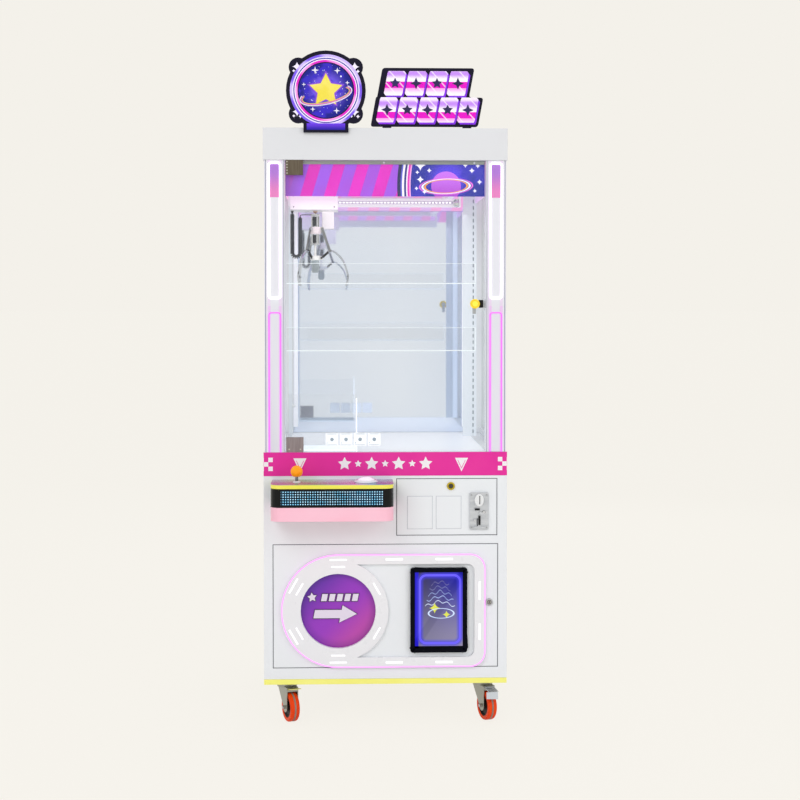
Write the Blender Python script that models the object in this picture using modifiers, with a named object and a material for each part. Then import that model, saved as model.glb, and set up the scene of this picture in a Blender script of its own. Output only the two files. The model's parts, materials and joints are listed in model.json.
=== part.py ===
"""Claw crane machine: a prize cabinet on casters, with a glass play chamber and a claw on a gantry.

Metres, +Z up. X runs across the machine, the player stands at -Y, and the origin lies on the
floor under the middle of the machine's outer box. Every moving piece hangs on an empty that
sits on its joint's axis.
"""

import math

import bmesh
import bpy
from mathutils import Matrix, Vector

# --- Fits -------------------------------------------------------------------------------------
GAP = 0.0003  # between faces that touch
DOOR_GAP = 0.0008  # around a hinged door
BORE_GAP = 0.0005  # around a shaft, all round
SHEET = 0.002  # steel sheet
FACETS = 24  # sides of a round piece

# --- Cabinet ----------------------------------------------------------------------------------
WIDTH = 0.820
DEPTH = 0.850
CONSOLE_REACH = 0.150  # how far the console stands out of the front
WHEEL_RADIUS = 0.050
CASTER_HEAD = 0.035  # top of the wheel to the base board
BOARD = 0.018  # base board
BODY_HEIGHT = 0.687
BAND_HEIGHT = 0.080
WINDOW_HEIGHT = 0.980
HEADER_HEIGHT = 0.107

SIDE = WIDTH / 2
FRONT = -(DEPTH + CONSOLE_REACH) / 2 + CONSOLE_REACH
BACK = FRONT + DEPTH
BOARD_UNDER = 2 * WHEEL_RADIUS + CASTER_HEAD
BODY_UNDER = BOARD_UNDER + BOARD + GAP
BODY_TOP = BOARD_UNDER + BOARD + BODY_HEIGHT
DECK_TOP = BODY_TOP + BAND_HEIGHT
HEADER_UNDER = DECK_TOP + WINDOW_HEIGHT
HEADER_TOP = HEADER_UNDER + HEADER_HEIGHT

# --- Upper frame, glass and deck --------------------------------------------------------------
POST_INSET = 0.004
POST_WIDTH = 0.068
POST_DEPTH = 0.050
POST_WALL = 0.0025
FRAME_RAIL = 0.022  # height and width of the side frames' rails
SIDE_GLASS = 0.005
SIDE_GLASS_INSET = 0.008
BACK_PANEL = 0.006
DECK = 0.012
DECK_LEDGE = 0.036  # band's top flange at the front and back
HEADER_LIP = 0.110  # width of the header's lower flange
BANNER = 0.0025
BANNER_HEIGHT = 0.119
BANNER_SET_BACK = 0.030
BANNER_SIDE_GAP = 0.0025

POST_OUT = SIDE - POST_INSET
POST_IN = POST_OUT - POST_WIDTH
POST_FRONT = FRONT + POST_INSET
POST_BACK = BACK - POST_INSET
FRAME_LOW = DECK_TOP + GAP
FRAME_HIGH = HEADER_UNDER - GAP
BANNER_SIDE = POST_IN - BANNER_SIDE_GAP
BANNER_FRONT = FRONT + BANNER_SET_BACK

# --- Prize chute and guard --------------------------------------------------------------------
CHUTE_FROM_POST = 0.005  # chute's left wall to the left post's inner face
CHUTE_WIDTH = 0.233
CHUTE_SET_BACK = 0.030
CHUTE_DEPTH = 0.240
GUARD = 0.004
GUARD_HEIGHT = 0.180
BIN_SET_BACK = 0.020
BIN_DEPTH = 0.290
BIN_FLOOR = 0.230
BIN_CEILING = 0.560
BIN_WIDTH = 0.318

CHUTE_LEFT = -POST_IN + CHUTE_FROM_POST
CHUTE_RIGHT = CHUTE_LEFT + CHUTE_WIDTH
CHUTE_FRONT = FRONT + CHUTE_SET_BACK
CHUTE_BACK = CHUTE_FRONT + CHUTE_DEPTH

# --- Glass door -------------------------------------------------------------------------------
GLASS = 0.008
GLASS_SET_BACK = 0.006
GLASS_EDGE = 0.002  # door edge to post
GLASS_END = 0.0025  # door edge to deck and header
PATCH_WIDTH = 0.058
PATCH_HEIGHT = 0.050
PATCH_PROUD = 0.004
PATCH_FROM_EDGE = 0.002
PIVOT_FROM_EDGE = 0.014
GLASS_LOCK_IN = 0.036  # lock's axis in from the door's free edge
GLASS_LOCK_RISE = 0.499  # above the deck
GLASS_LOCK_HEAD = 0.016
GLASS_LOCK_PROUD = 0.020
GLASS_CAM_FROM = 0.0145
GLASS_CAM_LENGTH = 0.034
STRIKE_WIDTH = 0.022
STRIKE_HEIGHT = 0.030
STRIKE_THICK = 0.004

GLASS_MID = FRONT + GLASS_SET_BACK + GLASS / 2
GLASS_SIDE = POST_IN - GLASS_EDGE
GLASS_LOCK_X = GLASS_SIDE - GLASS_LOCK_IN
GLASS_LOW = DECK_TOP + GLASS_END
GLASS_HIGH = HEADER_UNDER - GLASS_END

# --- Cam locks --------------------------------------------------------------------------------
BARREL_RADIUS = 0.009
CAM_WIDTH = 0.012
CAM = 0.002
CAM_END = 0.006  # from the lock's axis past its other side
LOCK_PROUD = 0.005
LOCK_BEVEL = 0.001

# --- Service door, prize flap and screen ------------------------------------------------------
DOOR_FLANGE = 0.012  # depth of a sheet door's folded edge
SERVICE_SIDE = 0.378
SERVICE_LOW = 0.193
SERVICE_HIGH = 0.608
FLAP_X = -0.160
FLAP_Z = 0.385
FLAP_HOLE = 0.126
FLAP_LAP = 0.003  # flap past the hole's edge
FLAP = 0.003
FLAP_SET_BACK = 0.005
FLAP_PIN_RADIUS = 0.004
FLAP_PIN_LENGTH = 0.080
SURROUND = 0.012
SURROUND_RIGHT = 0.336
SURROUND_ARC = 0.191  # about the flap's middle
SURROUND_CORNER = 0.050
RECESS_RIGHT = 0.299
RECESS_HALF_HEIGHT = 0.1575
RECESS_ARC = 0.170  # about the flap's middle
RECESS_CORNER = 0.024
SCREEN_X = 0.179
SCREEN_Z = 0.3865
SCREEN_WIDTH = 0.192
SCREEN_HEIGHT = 0.287
SCREEN_THICK = 0.014
SCREEN_RIM = 0.014
SCREEN_RECESS = 0.002
SERVICE_LOCK_X = 0.350
SERVICE_LOCK_Z = 0.411
SERVICE_LOCK_HEAD = 0.0125
SERVICE_CAM_LENGTH = 0.034

# --- Coin door --------------------------------------------------------------------------------
COIN_LEFT = 0.038
COIN_RIGHT = 0.375
COIN_LOW = 0.640
COIN_HIGH = 0.829
BLANK_WIDTH = 0.083
BLANK_HEIGHT = 0.109
BLANK_PROUD = 0.0015
BLANK_Z = 0.7155
BLANK_XS = (0.1155, 0.2125)
ACCEPTOR_X = 0.315
ACCEPTOR_Z = 0.7205
ACCEPTOR_WIDTH = 0.064
ACCEPTOR_HEIGHT = 0.127
ACCEPTOR_FACE = 0.006
ACCEPTOR_CORNER = 0.005
ACCEPTOR_BODY_WIDTH = 0.048
ACCEPTOR_BODY_HEIGHT = 0.108
ACCEPTOR_BODY_DEPTH = 0.060
BOSS_RADIUS = 0.015
BOSS_PROUD = 0.006
BOSS_RISE = 0.0375  # slot above the acceptor's middle
SLOT_WIDTH = 0.0035
SLOT_HEIGHT = 0.026
SLOT_DEPTH = 0.020
RETURN_DROP = 0.038  # return slot below the acceptor's middle
RETURN_SIDE = 0.006
BUTTON_RADIUS = 0.005
BUTTON_SIDE = 0.016  # return button beside the acceptor's middle
BUTTON_DROP = 0.004
BUTTON_PROUD = 0.004
BUTTON_BORE = 0.012
RETURN_TRAVEL = 0.003
COIN_LOCK_X = 0.220
COIN_LOCK_Z = 0.805
COIN_LOCK_HEAD = 0.0135
COIN_CAM_LENGTH = 0.028

# --- Console, joystick and drop button --------------------------------------------------------
CONSOLE_LEFT = -0.381
CONSOLE_RIGHT = 0.023
CONSOLE_LOW = 0.707
CONSOLE_BODY = 0.1068  # height of the tray and its housing
CONSOLE_LID = 0.0145  # height of the lid's rim
CONSOLE_WALL = 0.004
CONSOLE_CORNER = 0.034
CONSOLE_BACK_CORNER = 0.004
LID_PLATE = 0.003
MATRIX_MARGIN = 0.001  # window's end to the rounded corner
MATRIX_HEIGHT = 0.050
MATRIX_Z = 0.7835
MATRIX_LAP = 0.003  # module behind the window's edge
MATRIX_THICK = 0.012
CONTROL_REACH = 0.080  # joystick and button in front of the cabinet
STICK_X = -0.2965
STICK_RADIUS = 0.005
STICK_PIVOT_DROP = 0.031  # pivot below the lid's top
STICK_TAIL = 0.012
STICK_SWING = 12.0  # degrees to each side
BALL_RADIUS = 0.0202
BALL_RISE = 0.0355  # ball's middle above the lid's top
BALL_FLAT = 0.0162  # ball's flat underside below its middle
GIMBAL = 0.024
GIMBAL_HEIGHT = 0.010
EAR = 0.004
EAR_WIDTH = 0.020
EAR_DROP = 0.008  # ear past the pivot
DROP_X = -0.067
DROP_RADIUS = 0.028
DROP_RISE = 0.019  # dome's top above the lid
DROP_DOME = 0.009
DROP_SKIRT = 0.016  # button below the lid's top
DROP_TRAVEL = 0.004
BEZEL_RADIUS = 0.039
BEZEL_HEIGHT = 0.008
BEZEL_WALL = 0.002
BEZEL_EDGE = 0.004  # chamfer of its rim
BEZEL_DEPTH = 0.026
BEZEL_STOP = 0.004  # thickness of the barrel's stop ring
BEZEL_STOP_RADIUS = 0.014

CONSOLE_FRONT = FRONT - CONSOLE_REACH
LID_LOW = CONSOLE_LOW + CONSOLE_BODY + GAP
LID_TOP = LID_LOW + CONSOLE_LID
CONTROL_Y = FRONT - CONTROL_REACH
STICK_Z = LID_TOP - STICK_PIVOT_DROP
BARREL_OUT = DROP_RADIUS + GAP + BEZEL_WALL

# --- Signs ------------------------------------------------------------------------------------
SIGN = 0.012
BADGE_X = -0.199
BADGE_RADIUS = 0.133
BADGE_RISE = 0.122  # badge's middle above the header
BADGE_LOBE = 0.032
BADGE_LOBE_OUT = 0.120  # lobe's middle from the badge's middle
BADGE_LOBE_TURN = 40  # degrees above and below the badge's middle
BADGE_TAB = 0.150
BADGE_LAP = 0.017  # badge's tab below the header's top
PLATE_LEFT = -0.050
PLATE_WIDTH = 0.379
PLATE_HEIGHT = 0.196
PLATE_STEP = 0.098  # height where the upper row starts
PLATE_UPPER_IN = 0.022  # upper row in from the lower row's left end
PLATE_UPPER_WIDTH = 0.327
PLATE_SLANT = 0.018
PLATE_CORNER = 0.010
PLATE_FOOT_GAP = 0.006
PLATE_FOOT_WIDTH = 0.030
PLATE_FOOT_DEPTH = 0.040
PLATE_FOOT = 0.003
PLATE_FOOT_IN = 0.055
PLATE_SET_BACK = 0.012

# --- Gantry -----------------------------------------------------------------------------------
RAIL = 0.020
RAIL_UNDER = 0.0925  # rails' underside below the header
GANTRY_LEFT = 0.005  # left rail to the banner's inner face
GANTRY_WIDTH = 0.588
GANTRY_END = 0.015  # frame's ends to the banner's inner faces
TRUCK = 0.006
TRUCK_PLATE = 0.024  # truck's top plate under the rail
TRUCK_TOP = 0.006
TRUCK_OUT = 0.002  # truck's web past the rail's outer side
BEAM_DEPTH = 0.030
BEAM_HEIGHT = 0.028
BEAM_DROP = 0.055  # beam's middle below the rails
CARRIAGE_WIDTH = 0.162
CARRIAGE_DEPTH = 0.150
CARRIAGE_HEIGHT = 0.057
CARRIAGE_GAP = 0.002  # carriage to the left truck
CLAW_REACH = 0.150  # claw behind the front at rest
CLAW_IN = 0.084  # claw from the carriage's left side
MOTOR_WIDTH = 0.041
MOTOR_DEPTH = 0.050
MOTOR_HEIGHT = 0.060
MOTOR_IN = 0.004
TRAVEL_BACK = 0.480
TRAVEL_ACROSS = 0.360
TRAVEL_DOWN = 0.480

RAIL_LOW = HEADER_UNDER - RAIL_UNDER
RAIL_LEFT = -BANNER_SIDE + BANNER + GANTRY_LEFT
RAIL_RIGHT = RAIL_LEFT + GANTRY_WIDTH
GANTRY_FRONT = BANNER_FRONT + BANNER + GANTRY_END
GANTRY_BACK = POST_BACK - BANNER_SET_BACK - BANNER - GANTRY_END
BEAM_Z = RAIL_LOW - BEAM_DROP + BEAM_HEIGHT / 2
CLAW_Y = FRONT + CLAW_REACH
CARRIAGE_LEFT = RAIL_LEFT - TRUCK_OUT + TRUCK + CARRIAGE_GAP
CARRIAGE_LOW = BEAM_Z - CARRIAGE_HEIGHT / 2
CLAW_X = CARRIAGE_LEFT + CLAW_IN

# --- Claw -------------------------------------------------------------------------------------
CORD_LENGTH = 0.010
CORD_RADIUS = 0.003
HEAD_HEIGHT = 0.107
HEAD_CAP = 0.007
HEAD_CAP_RADIUS = 0.012
HEAD_UPPER_RADIUS = 0.0155
HEAD_UPPER = 0.045
COLLAR_RADIUS = 0.019
COLLAR = 0.024
HEAD_LOWER_RADIUS = 0.0175
PLUNGER_RADIUS = 0.00575
PLUNGER_IN = 0.030  # plunger inside the head at rest
PLUNGER_OUT = 0.036
HUB_RADIUS = 0.0165
HUB_HEIGHT = 0.016
BELL_RADIUS = 0.0135
BELL_HEIGHT = 0.043
CLOSE_TRAVEL = 0.026
PRONGS = 3
PRONG_RADIUS = 0.0034
LUG = 0.003
LUG_HALF_HEIGHT = 0.004
LUG_PAST = 0.003  # lug past its pivot
HUB_PIVOT = 0.0215  # pivot from the claw's axis
HEAD_PIVOT = 0.024
HEAD_PIVOT_DROP = 0.006  # below the collar's top
KNEE_OUT = 0.050
KNEE_RISE = 0.024  # above the hub's pivot
LINK = 0.003
LINK_WIDTH = 0.009
# a prong's route past its knee, as (out from the axis, above the hub's pivot)
PRONG_ROUTE = ((0.072, 0.016), (0.091, -0.004), (0.101, -0.021), (0.107, -0.041),
               (0.1115, -0.057), (0.111, -0.077), (0.106, -0.096))

HEAD_TOP = CARRIAGE_LOW - CORD_LENGTH
COLLAR_TOP = HEAD_TOP - HEAD_UPPER
HEAD_LOW = HEAD_TOP - HEAD_HEIGHT
HUB_TOP = HEAD_LOW - PLUNGER_OUT
HUB_PIVOT_Z = HUB_TOP - HUB_HEIGHT / 2
HEAD_PIVOT_Z = COLLAR_TOP - HEAD_PIVOT_DROP

# --- Curly cord: its own outer diameter, and its loop from the carriage to the claw's head ----
CURL_RADIUS = 0.0075
CURL_LEFT = 0.079  # first limb left of the claw's axis
CURL_SPAN = 0.027  # between the two limbs
CURL_DROP = 0.165  # loop's lowest point below the carriage
CURL_RISE = 0.016  # loop's second end below the carriage

# --- Casters ----------------------------------------------------------------------------------
CASTER_IN = 0.075  # swivel from the cabinet's sides
CASTER_TRAIL = 0.035
CASTER_PLATE = 0.095
CASTER_PLATE_THICK = 0.004
TURNTABLE_RADIUS = 0.034
TURNTABLE = 0.012
CROWN = 0.009
WHEEL_WIDTH = 0.032
WHEEL_SIDE_GAP = 0.002
FORK_LEG = 0.003
FORK_WIDTH = 0.036  # of a leg at the axle
AXLE_RADIUS = 0.006
AXLE_PAST = 0.004
TREAD_CORNER = 0.006
PEDAL_LENGTH = 0.036
PEDAL = 0.003
PEDAL_WIDTH = 0.034
PEDAL_PIN_RADIUS = 0.003
CASTER_YAWS = (("front_left", -1, -1, 22.0), ("front_right", 1, -1, 20.0),
               ("rear_left", -1, 1, 14.0), ("rear_right", 1, 1, -12.0))
PEDAL_UP = -12.0  # degrees, lifted
PEDAL_PRESSED = 14.0  # degrees, pressed on the wheel's brake

# --- Inside the base --------------------------------------------------------------------------
CONTROL_BOX = (0.300, 0.200, 0.140)
CONTROL_BOX_IN = 0.060  # from the cabinet's right and back walls


# --- Modelling helpers ------------------------------------------------------------------------
def new_collection(name):
    collection = bpy.data.collections.new(name)
    bpy.context.scene.collection.children.link(collection)
    return collection


def finish(name, colour, roughness, metallic=0.0, alpha=1.0):
    """A Principled material; colour is sRGB in 0 to 255."""
    material = bpy.data.materials.new(name)
    material.use_nodes = True
    shader = material.node_tree.nodes["Principled BSDF"]
    linear = [((c / 255 + 0.055) / 1.055) ** 2.4 if c > 10 else c / 3294 for c in colour]
    shader.inputs["Base Color"].default_value = (*linear, 1.0)
    shader.inputs["Roughness"].default_value = roughness
    shader.inputs["Metallic"].default_value = metallic
    shader.inputs["Alpha"].default_value = alpha
    return material


def mesh_of(bm):
    mesh = bpy.data.meshes.new("solid")
    bm.to_mesh(mesh)
    bm.free()
    return mesh


def box(low, high):
    low, high = Vector(low), Vector(high)
    bm = bmesh.new()
    bmesh.ops.create_cube(bm, size=1.0)
    bmesh.ops.scale(bm, vec=high - low, verts=bm.verts)
    bmesh.ops.translate(bm, vec=(low + high) / 2, verts=bm.verts)
    return mesh_of(bm)


def rod(start, end, radius, sides=FACETS):
    start, end = Vector(start), Vector(end)
    bm = bmesh.new()
    bmesh.ops.create_cone(bm, cap_ends=True, segments=sides, radius1=radius, radius2=radius,
                          depth=(end - start).length)
    turn = (end - start).to_track_quat("Z", "Y").to_matrix().to_4x4()
    bmesh.ops.transform(bm, matrix=Matrix.Translation((start + end) / 2) @ turn, verts=bm.verts)
    return mesh_of(bm)


def arc(middle, radius, start, end, steps=6):
    """Points of an arc, in degrees from the first axis."""
    angles = [math.radians(start + (end - start) * n / steps) for n in range(steps + 1)]
    return [(middle[0] + radius * math.cos(a), middle[1] + radius * math.sin(a)) for a in angles]


def rounded(low, high, radii, steps=5):
    """A rectangle's outline, its corners rounded, from the low corner round to the left."""
    corners = ((low[0], low[1], 1, 1), (high[0], low[1], -1, 1),
               (high[0], high[1], -1, -1), (low[0], high[1], 1, -1))
    points = []
    for turn, ((a, b, right, up), radius) in enumerate(zip(corners, radii)):
        start = 180 + 90 * turn
        points += arc((a + right * radius, b + up * radius), radius, start, start + 90, steps)
    return points


def softened(outline, radius, steps=4):
    """The outline again with each corner rounded, its two sides cut back by at most radius."""
    points = []
    for before, corner, after in zip(outline[-1:] + outline[:-1], outline, outline[1:] + outline[:1]):
        corner, before, after = Vector(corner), Vector(before), Vector(after)
        back, on = before - corner, after - corner
        start = corner + back.normalized() * min(radius, back.length / 3)
        end = corner + on.normalized() * min(radius, on.length / 3)
        for n in range(steps + 1):
            t = n / steps
            points.append(tuple(start * (1 - t) ** 2 + corner * 2 * t * (1 - t) + end * t ** 2))
    return points


def slab(points, low, high, normal="Z"):
    """A flat outline made solid from low to high along its normal.

    The outline lies in XY, in XZ for a normal of Y, or in YZ for a normal of X.
    """
    curve = bpy.data.curves.new("outline", "CURVE")
    curve.dimensions = "2D"
    curve.fill_mode = "BOTH"
    curve.extrude = (high - low) / 2
    spline = curve.splines.new("POLY")
    spline.points.add(len(points) - 1)
    for point, (a, b) in zip(spline.points, points):
        point.co = (a, b, 0, 1)
    spline.use_cyclic_u = True
    guide = bpy.data.objects.new("outline", curve)
    bpy.context.scene.collection.objects.link(guide)
    graph = bpy.context.evaluated_depsgraph_get()
    flat = bpy.data.meshes.new_from_object(guide.evaluated_get(graph))
    bpy.data.objects.remove(guide)
    bm = bmesh.new()
    bm.from_mesh(flat)
    bmesh.ops.remove_doubles(bm, verts=bm.verts, dist=1e-5)
    bmesh.ops.recalc_face_normals(bm, faces=bm.faces)
    turns = {"Z": Matrix.Identity(4), "Y": Matrix.Rotation(math.radians(90), 4, "X"),
             "X": Matrix(((0, 0, 1, 0), (1, 0, 0, 0), (0, 1, 0, 0), (0, 0, 0, 1)))}
    middle = {"Z": (0, 0, 1), "Y": (0, 1, 0), "X": (1, 0, 0)}
    shift = Matrix.Translation(Vector(middle[normal]) * (low + high) / 2)
    bmesh.ops.transform(bm, matrix=shift @ turns[normal], verts=bm.verts)
    return mesh_of(bm)


def smooth(mesh):
    mesh.shade_smooth()
    mesh.set_sharp_from_angle(angle=math.radians(35))


def node(name, mesh, look, place=None):
    """A named piece; its mesh is in metres about the machine's origin, or about place."""
    smooth(mesh)
    piece = bpy.data.objects.new(name, mesh)
    mesh.name = name
    mesh.materials.append(look)
    PARTS.objects.link(piece)
    if place is not None:
        piece.matrix_world = place
    return piece


def turned(name, profile, look, place, sides=FACETS, ring=False):
    """A turned piece from (radius, height) points that run down its outer side."""
    bm = bmesh.new()
    points = [bm.verts.new((radius, 0, height)) for radius, height in profile]
    last = len(points) if ring else len(points) - 1
    for n in range(last):
        bm.edges.new((points[n], points[(n + 1) % len(points)]))
    piece = node(name, mesh_of(bm), look, place)
    screw = piece.modifiers.new("turn", "SCREW")
    screw.axis = "Z"
    screw.steps = sides
    screw.render_steps = sides
    screw.use_merge_vertices = True
    screw.merge_threshold = 0.00005
    screw.use_smooth_shade = True
    return piece


def tube(name, points, radius, look):
    """A round tube along the points."""
    curve = bpy.data.curves.new(name, "CURVE")
    curve.dimensions = "3D"
    curve.bevel_depth = radius
    curve.bevel_resolution = 2
    curve.use_fill_caps = True
    spline = curve.splines.new("POLY")
    spline.points.add(len(points) - 1)
    for point, place in zip(spline.points, points):
        point.co = (*place, 1)
    curve.materials.append(look)
    piece = bpy.data.objects.new(name, curve)
    PARTS.objects.link(piece)
    return piece


def combine(operation, body, meshes):
    for mesh in meshes:
        tool = bpy.data.objects.new(f"{body.name}_{operation.lower()}", mesh)
        CUTTERS.objects.link(tool)
        tool.matrix_world = body.matrix_world
        tool.hide_render = True
        tool.display_type = "WIRE"
        step = body.modifiers.new(operation.lower(), "BOOLEAN")
        step.operation = operation
        step.solver = "EXACT"
        step.object = tool


def cut(body, *meshes):
    combine("DIFFERENCE", body, meshes)


def weld(body, *meshes):
    combine("UNION", body, meshes)


def hang(name, point, *pieces, parent=None):
    """An empty at a joint, which carries its pieces."""
    pivot = bpy.data.objects.new(name, None)
    pivot.empty_display_size = 0.03
    pivot.location = point
    pivot.matrix_world = Matrix.Translation(point)
    PARTS.objects.link(pivot)
    for piece in pieces:
        piece.parent = pivot
        piece.matrix_parent_inverse = pivot.matrix_world.inverted()
    if parent is not None:
        pivot.parent = parent
        pivot.matrix_parent_inverse = parent.matrix_world.inverted()
    return pivot


def smooth_route(points, steps):
    """A Catmull-Rom curve through the points, with steps to each stretch."""
    points = [Vector(p) for p in points]
    route = [points[0]]
    for n in range(len(points) - 1):
        before, start = points[max(n - 1, 0)], points[n]
        end, after = points[n + 1], points[min(n + 2, len(points) - 1)]
        for step in range(1, steps + 1):
            t = step / steps
            route.append(0.5 * (2 * start + (end - before) * t
                                + (2 * before - 5 * start + 4 * end - after) * t ** 2
                                + (3 * start - before - 3 * end + after) * t ** 3))
    return route


# --- Base and cabinet -------------------------------------------------------------------------
def base_board():
    board = node("base_board", box((-SIDE, FRONT, BOARD_UNDER), (SIDE, BACK, BOARD_UNDER + BOARD)),
                 finish("yellow edge", (255, 249, 122), 0.45))
    half = CASTER_PLATE / 2
    for _, side, end, _ in CASTER_YAWS:
        x, y = caster_place(side, end)
        low = BOARD_UNDER - CASTER_PLATE_THICK
        weld(board, box((x - half, y - half, low), (x + half, y + half, BOARD_UNDER + BOARD / 2)))


def caster_place(side, end):
    return side * (SIDE - CASTER_IN), (FRONT + CASTER_IN if end < 0 else BACK - CASTER_IN)


def lower_cabinet():
    cabinet = node("lower_cabinet", box((-SIDE, FRONT, BODY_UNDER), (SIDE, BACK, BODY_TOP)),
                   finish("cabinet white", (236, 236, 239), 0.38))
    cut(cabinet,
        box((-SIDE + SHEET, FRONT + SHEET, BODY_UNDER + SHEET),
            (SIDE - SHEET, BACK - SHEET, BODY_TOP - SHEET)),
        box((-SERVICE_SIDE - DOOR_GAP, FRONT - SHEET, SERVICE_LOW - DOOR_GAP),
            (SERVICE_SIDE + DOOR_GAP, FRONT + 2 * SHEET, SERVICE_HIGH + DOOR_GAP)),
        box((COIN_LEFT - DOOR_GAP, FRONT - SHEET, COIN_LOW - DOOR_GAP),
            (COIN_RIGHT + DOOR_GAP, FRONT + 2 * SHEET, COIN_HIGH + DOOR_GAP)),
        box((CHUTE_LEFT - GAP, CHUTE_FRONT - GAP, BODY_TOP - 2 * SHEET),
            (CHUTE_RIGHT + GAP, CHUTE_BACK + GAP, BODY_TOP + SHEET)))


def fascia_band():
    low, high = BODY_TOP + GAP, DECK_TOP
    band = node("fascia_band", box((-SIDE, FRONT, low), (SIDE, BACK, high)),
                finish("magenta band", (230, 53, 159), 0.35))
    cut(band,
        box((-SIDE + SHEET, FRONT + SHEET, low - SHEET), (SIDE - SHEET, BACK - SHEET, high - SHEET)),
        box((-POST_IN, FRONT + DECK_LEDGE, high - 2 * SHEET),
            (POST_IN, BACK - DECK_LEDGE, high + SHEET)))


def prize_deck():
    deck = node("prize_deck", box((-POST_IN + GAP, FRONT + DECK_LEDGE + GAP, DECK_TOP - DECK),
                                  (POST_IN - GAP, BACK - DECK_LEDGE - GAP, DECK_TOP)),
                finish("deck white", (243, 246, 248), 0.30))
    cut(deck, box((CHUTE_LEFT - GAP, CHUTE_FRONT - SHEET - DECK, DECK_TOP - 2 * DECK),
                  (CHUTE_RIGHT + GAP, CHUTE_BACK + GAP, DECK_TOP + DECK)))


def prize_chute():
    """A duct from the deck's hole down into a bin that is open towards the flap."""
    bin_front = FRONT + BIN_SET_BACK
    bin_right = CHUTE_LEFT + BIN_WIDTH
    bin_back = bin_front + BIN_DEPTH
    top = DECK_TOP - DECK - GAP
    chute = node("prize_chute", box((CHUTE_LEFT, CHUTE_FRONT, BIN_CEILING - SHEET),
                                    (CHUTE_RIGHT, CHUTE_BACK, top)),
                 finish("chute grey", (205, 208, 214), 0.40))
    weld(chute, box((CHUTE_LEFT, bin_front, BIN_FLOOR), (bin_right, bin_back, BIN_CEILING)))
    cut(chute,
        box((CHUTE_LEFT + SHEET, CHUTE_FRONT + SHEET, BIN_CEILING - 2 * SHEET),
            (CHUTE_RIGHT - SHEET, CHUTE_BACK - SHEET, top + SHEET)),
        box((CHUTE_LEFT + SHEET, bin_front - SHEET, BIN_FLOOR + SHEET),
            (bin_right - SHEET, bin_back - SHEET, BIN_CEILING - SHEET)))


def chute_guard():
    """Two clear walls on the deck, on the inner sides of the chute's hole."""
    low, high = DECK_TOP + GAP, DECK_TOP + GUARD_HEIGHT
    left, right = -POST_IN + GAP, CHUTE_RIGHT + GUARD + GAP
    guard = node("chute_guard", box((left, CHUTE_BACK + GAP, low),
                                    (right, CHUTE_BACK + GAP + GUARD, high)),
                 finish("clear acrylic", (235, 240, 244), 0.05, alpha=0.25))
    weld(guard, box((right - GUARD, CHUTE_FRONT, low), (right, CHUTE_BACK + GUARD / 2, high)))


def control_box():
    width, depth, height = CONTROL_BOX
    right = SIDE - SHEET - CONTROL_BOX_IN
    back = BACK - SHEET - CONTROL_BOX_IN
    low = BODY_UNDER + SHEET + GAP
    cover = node("control_box", box((right - width, back - depth, low), (right, back, low + height)),
                 finish("zinc box", (176, 180, 186), 0.45, 0.8))
    cut(cover, box((right - width + SHEET, back - depth + SHEET, low - SHEET),
                   (right - SHEET, back - SHEET, low + height - SHEET)))


# --- Upper frame ------------------------------------------------------------------------------
def side_frame(name, side):
    """Front and rear posts of box section, with a rail above and below the side glass."""
    low_x, high_x = sorted((side * POST_IN, side * POST_OUT))
    rail_in = side * (POST_OUT - FRAME_RAIL)
    frame = node(name, box((low_x, POST_FRONT, FRAME_LOW), (high_x, POST_BACK, FRAME_HIGH)),
                 finish(f"{name} white", (240, 240, 244), 0.32))
    cut(frame, box((low_x - SHEET, POST_FRONT + POST_DEPTH, FRAME_LOW + FRAME_RAIL),
                   (high_x + SHEET, POST_BACK - POST_DEPTH, FRAME_HIGH - FRAME_RAIL)))
    inner = sorted((side * (POST_IN - SHEET), rail_in))
    for low, high in ((FRAME_LOW - SHEET, FRAME_LOW + 2 * FRAME_RAIL),
                      (FRAME_HIGH - 2 * FRAME_RAIL, FRAME_HIGH + SHEET)):
        cut(frame, box((inner[0], POST_FRONT + POST_DEPTH, low),
                       (inner[1], POST_BACK - POST_DEPTH, high)))
    for front in (POST_FRONT, POST_BACK - POST_DEPTH):
        cut(frame, box((low_x + POST_WALL, front + POST_WALL, FRAME_LOW - SHEET),
                       (high_x - POST_WALL, front + POST_DEPTH - POST_WALL, FRAME_HIGH + SHEET)))
    return frame


def side_glass(name, side):
    outer = side * (POST_OUT - SIDE_GLASS_INSET)
    low_x, high_x = sorted((outer, outer - side * SIDE_GLASS))
    node(name, box((low_x, POST_FRONT + POST_DEPTH + GAP, FRAME_LOW + FRAME_RAIL + GAP),
                   (high_x, POST_BACK - POST_DEPTH - GAP, FRAME_HIGH - FRAME_RAIL - GAP)),
         finish(f"{name} clear", (226, 236, 238), 0.03, alpha=0.2))


def back_panel():
    node("back_panel", box((-POST_IN + GAP, POST_BACK - 2 * BACK_PANEL, FRAME_LOW),
                           (POST_IN - GAP, POST_BACK - BACK_PANEL, FRAME_HIGH)),
         finish("mirror grey", (216, 222, 228), 0.08, 0.6))


def header():
    top = node("header", box((-SIDE, FRONT, HEADER_UNDER), (SIDE, BACK, HEADER_TOP)),
               finish("header white", (238, 238, 240), 0.36))
    cut(top,
        box((-SIDE + SHEET, FRONT + SHEET, HEADER_UNDER + SHEET),
            (SIDE - SHEET, BACK - SHEET, HEADER_TOP - SHEET)),
        box((-SIDE + HEADER_LIP, FRONT + HEADER_LIP, HEADER_UNDER - SHEET),
            (RAIL_RIGHT - RAIL, BACK - HEADER_LIP, HEADER_UNDER + 2 * SHEET)))


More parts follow.
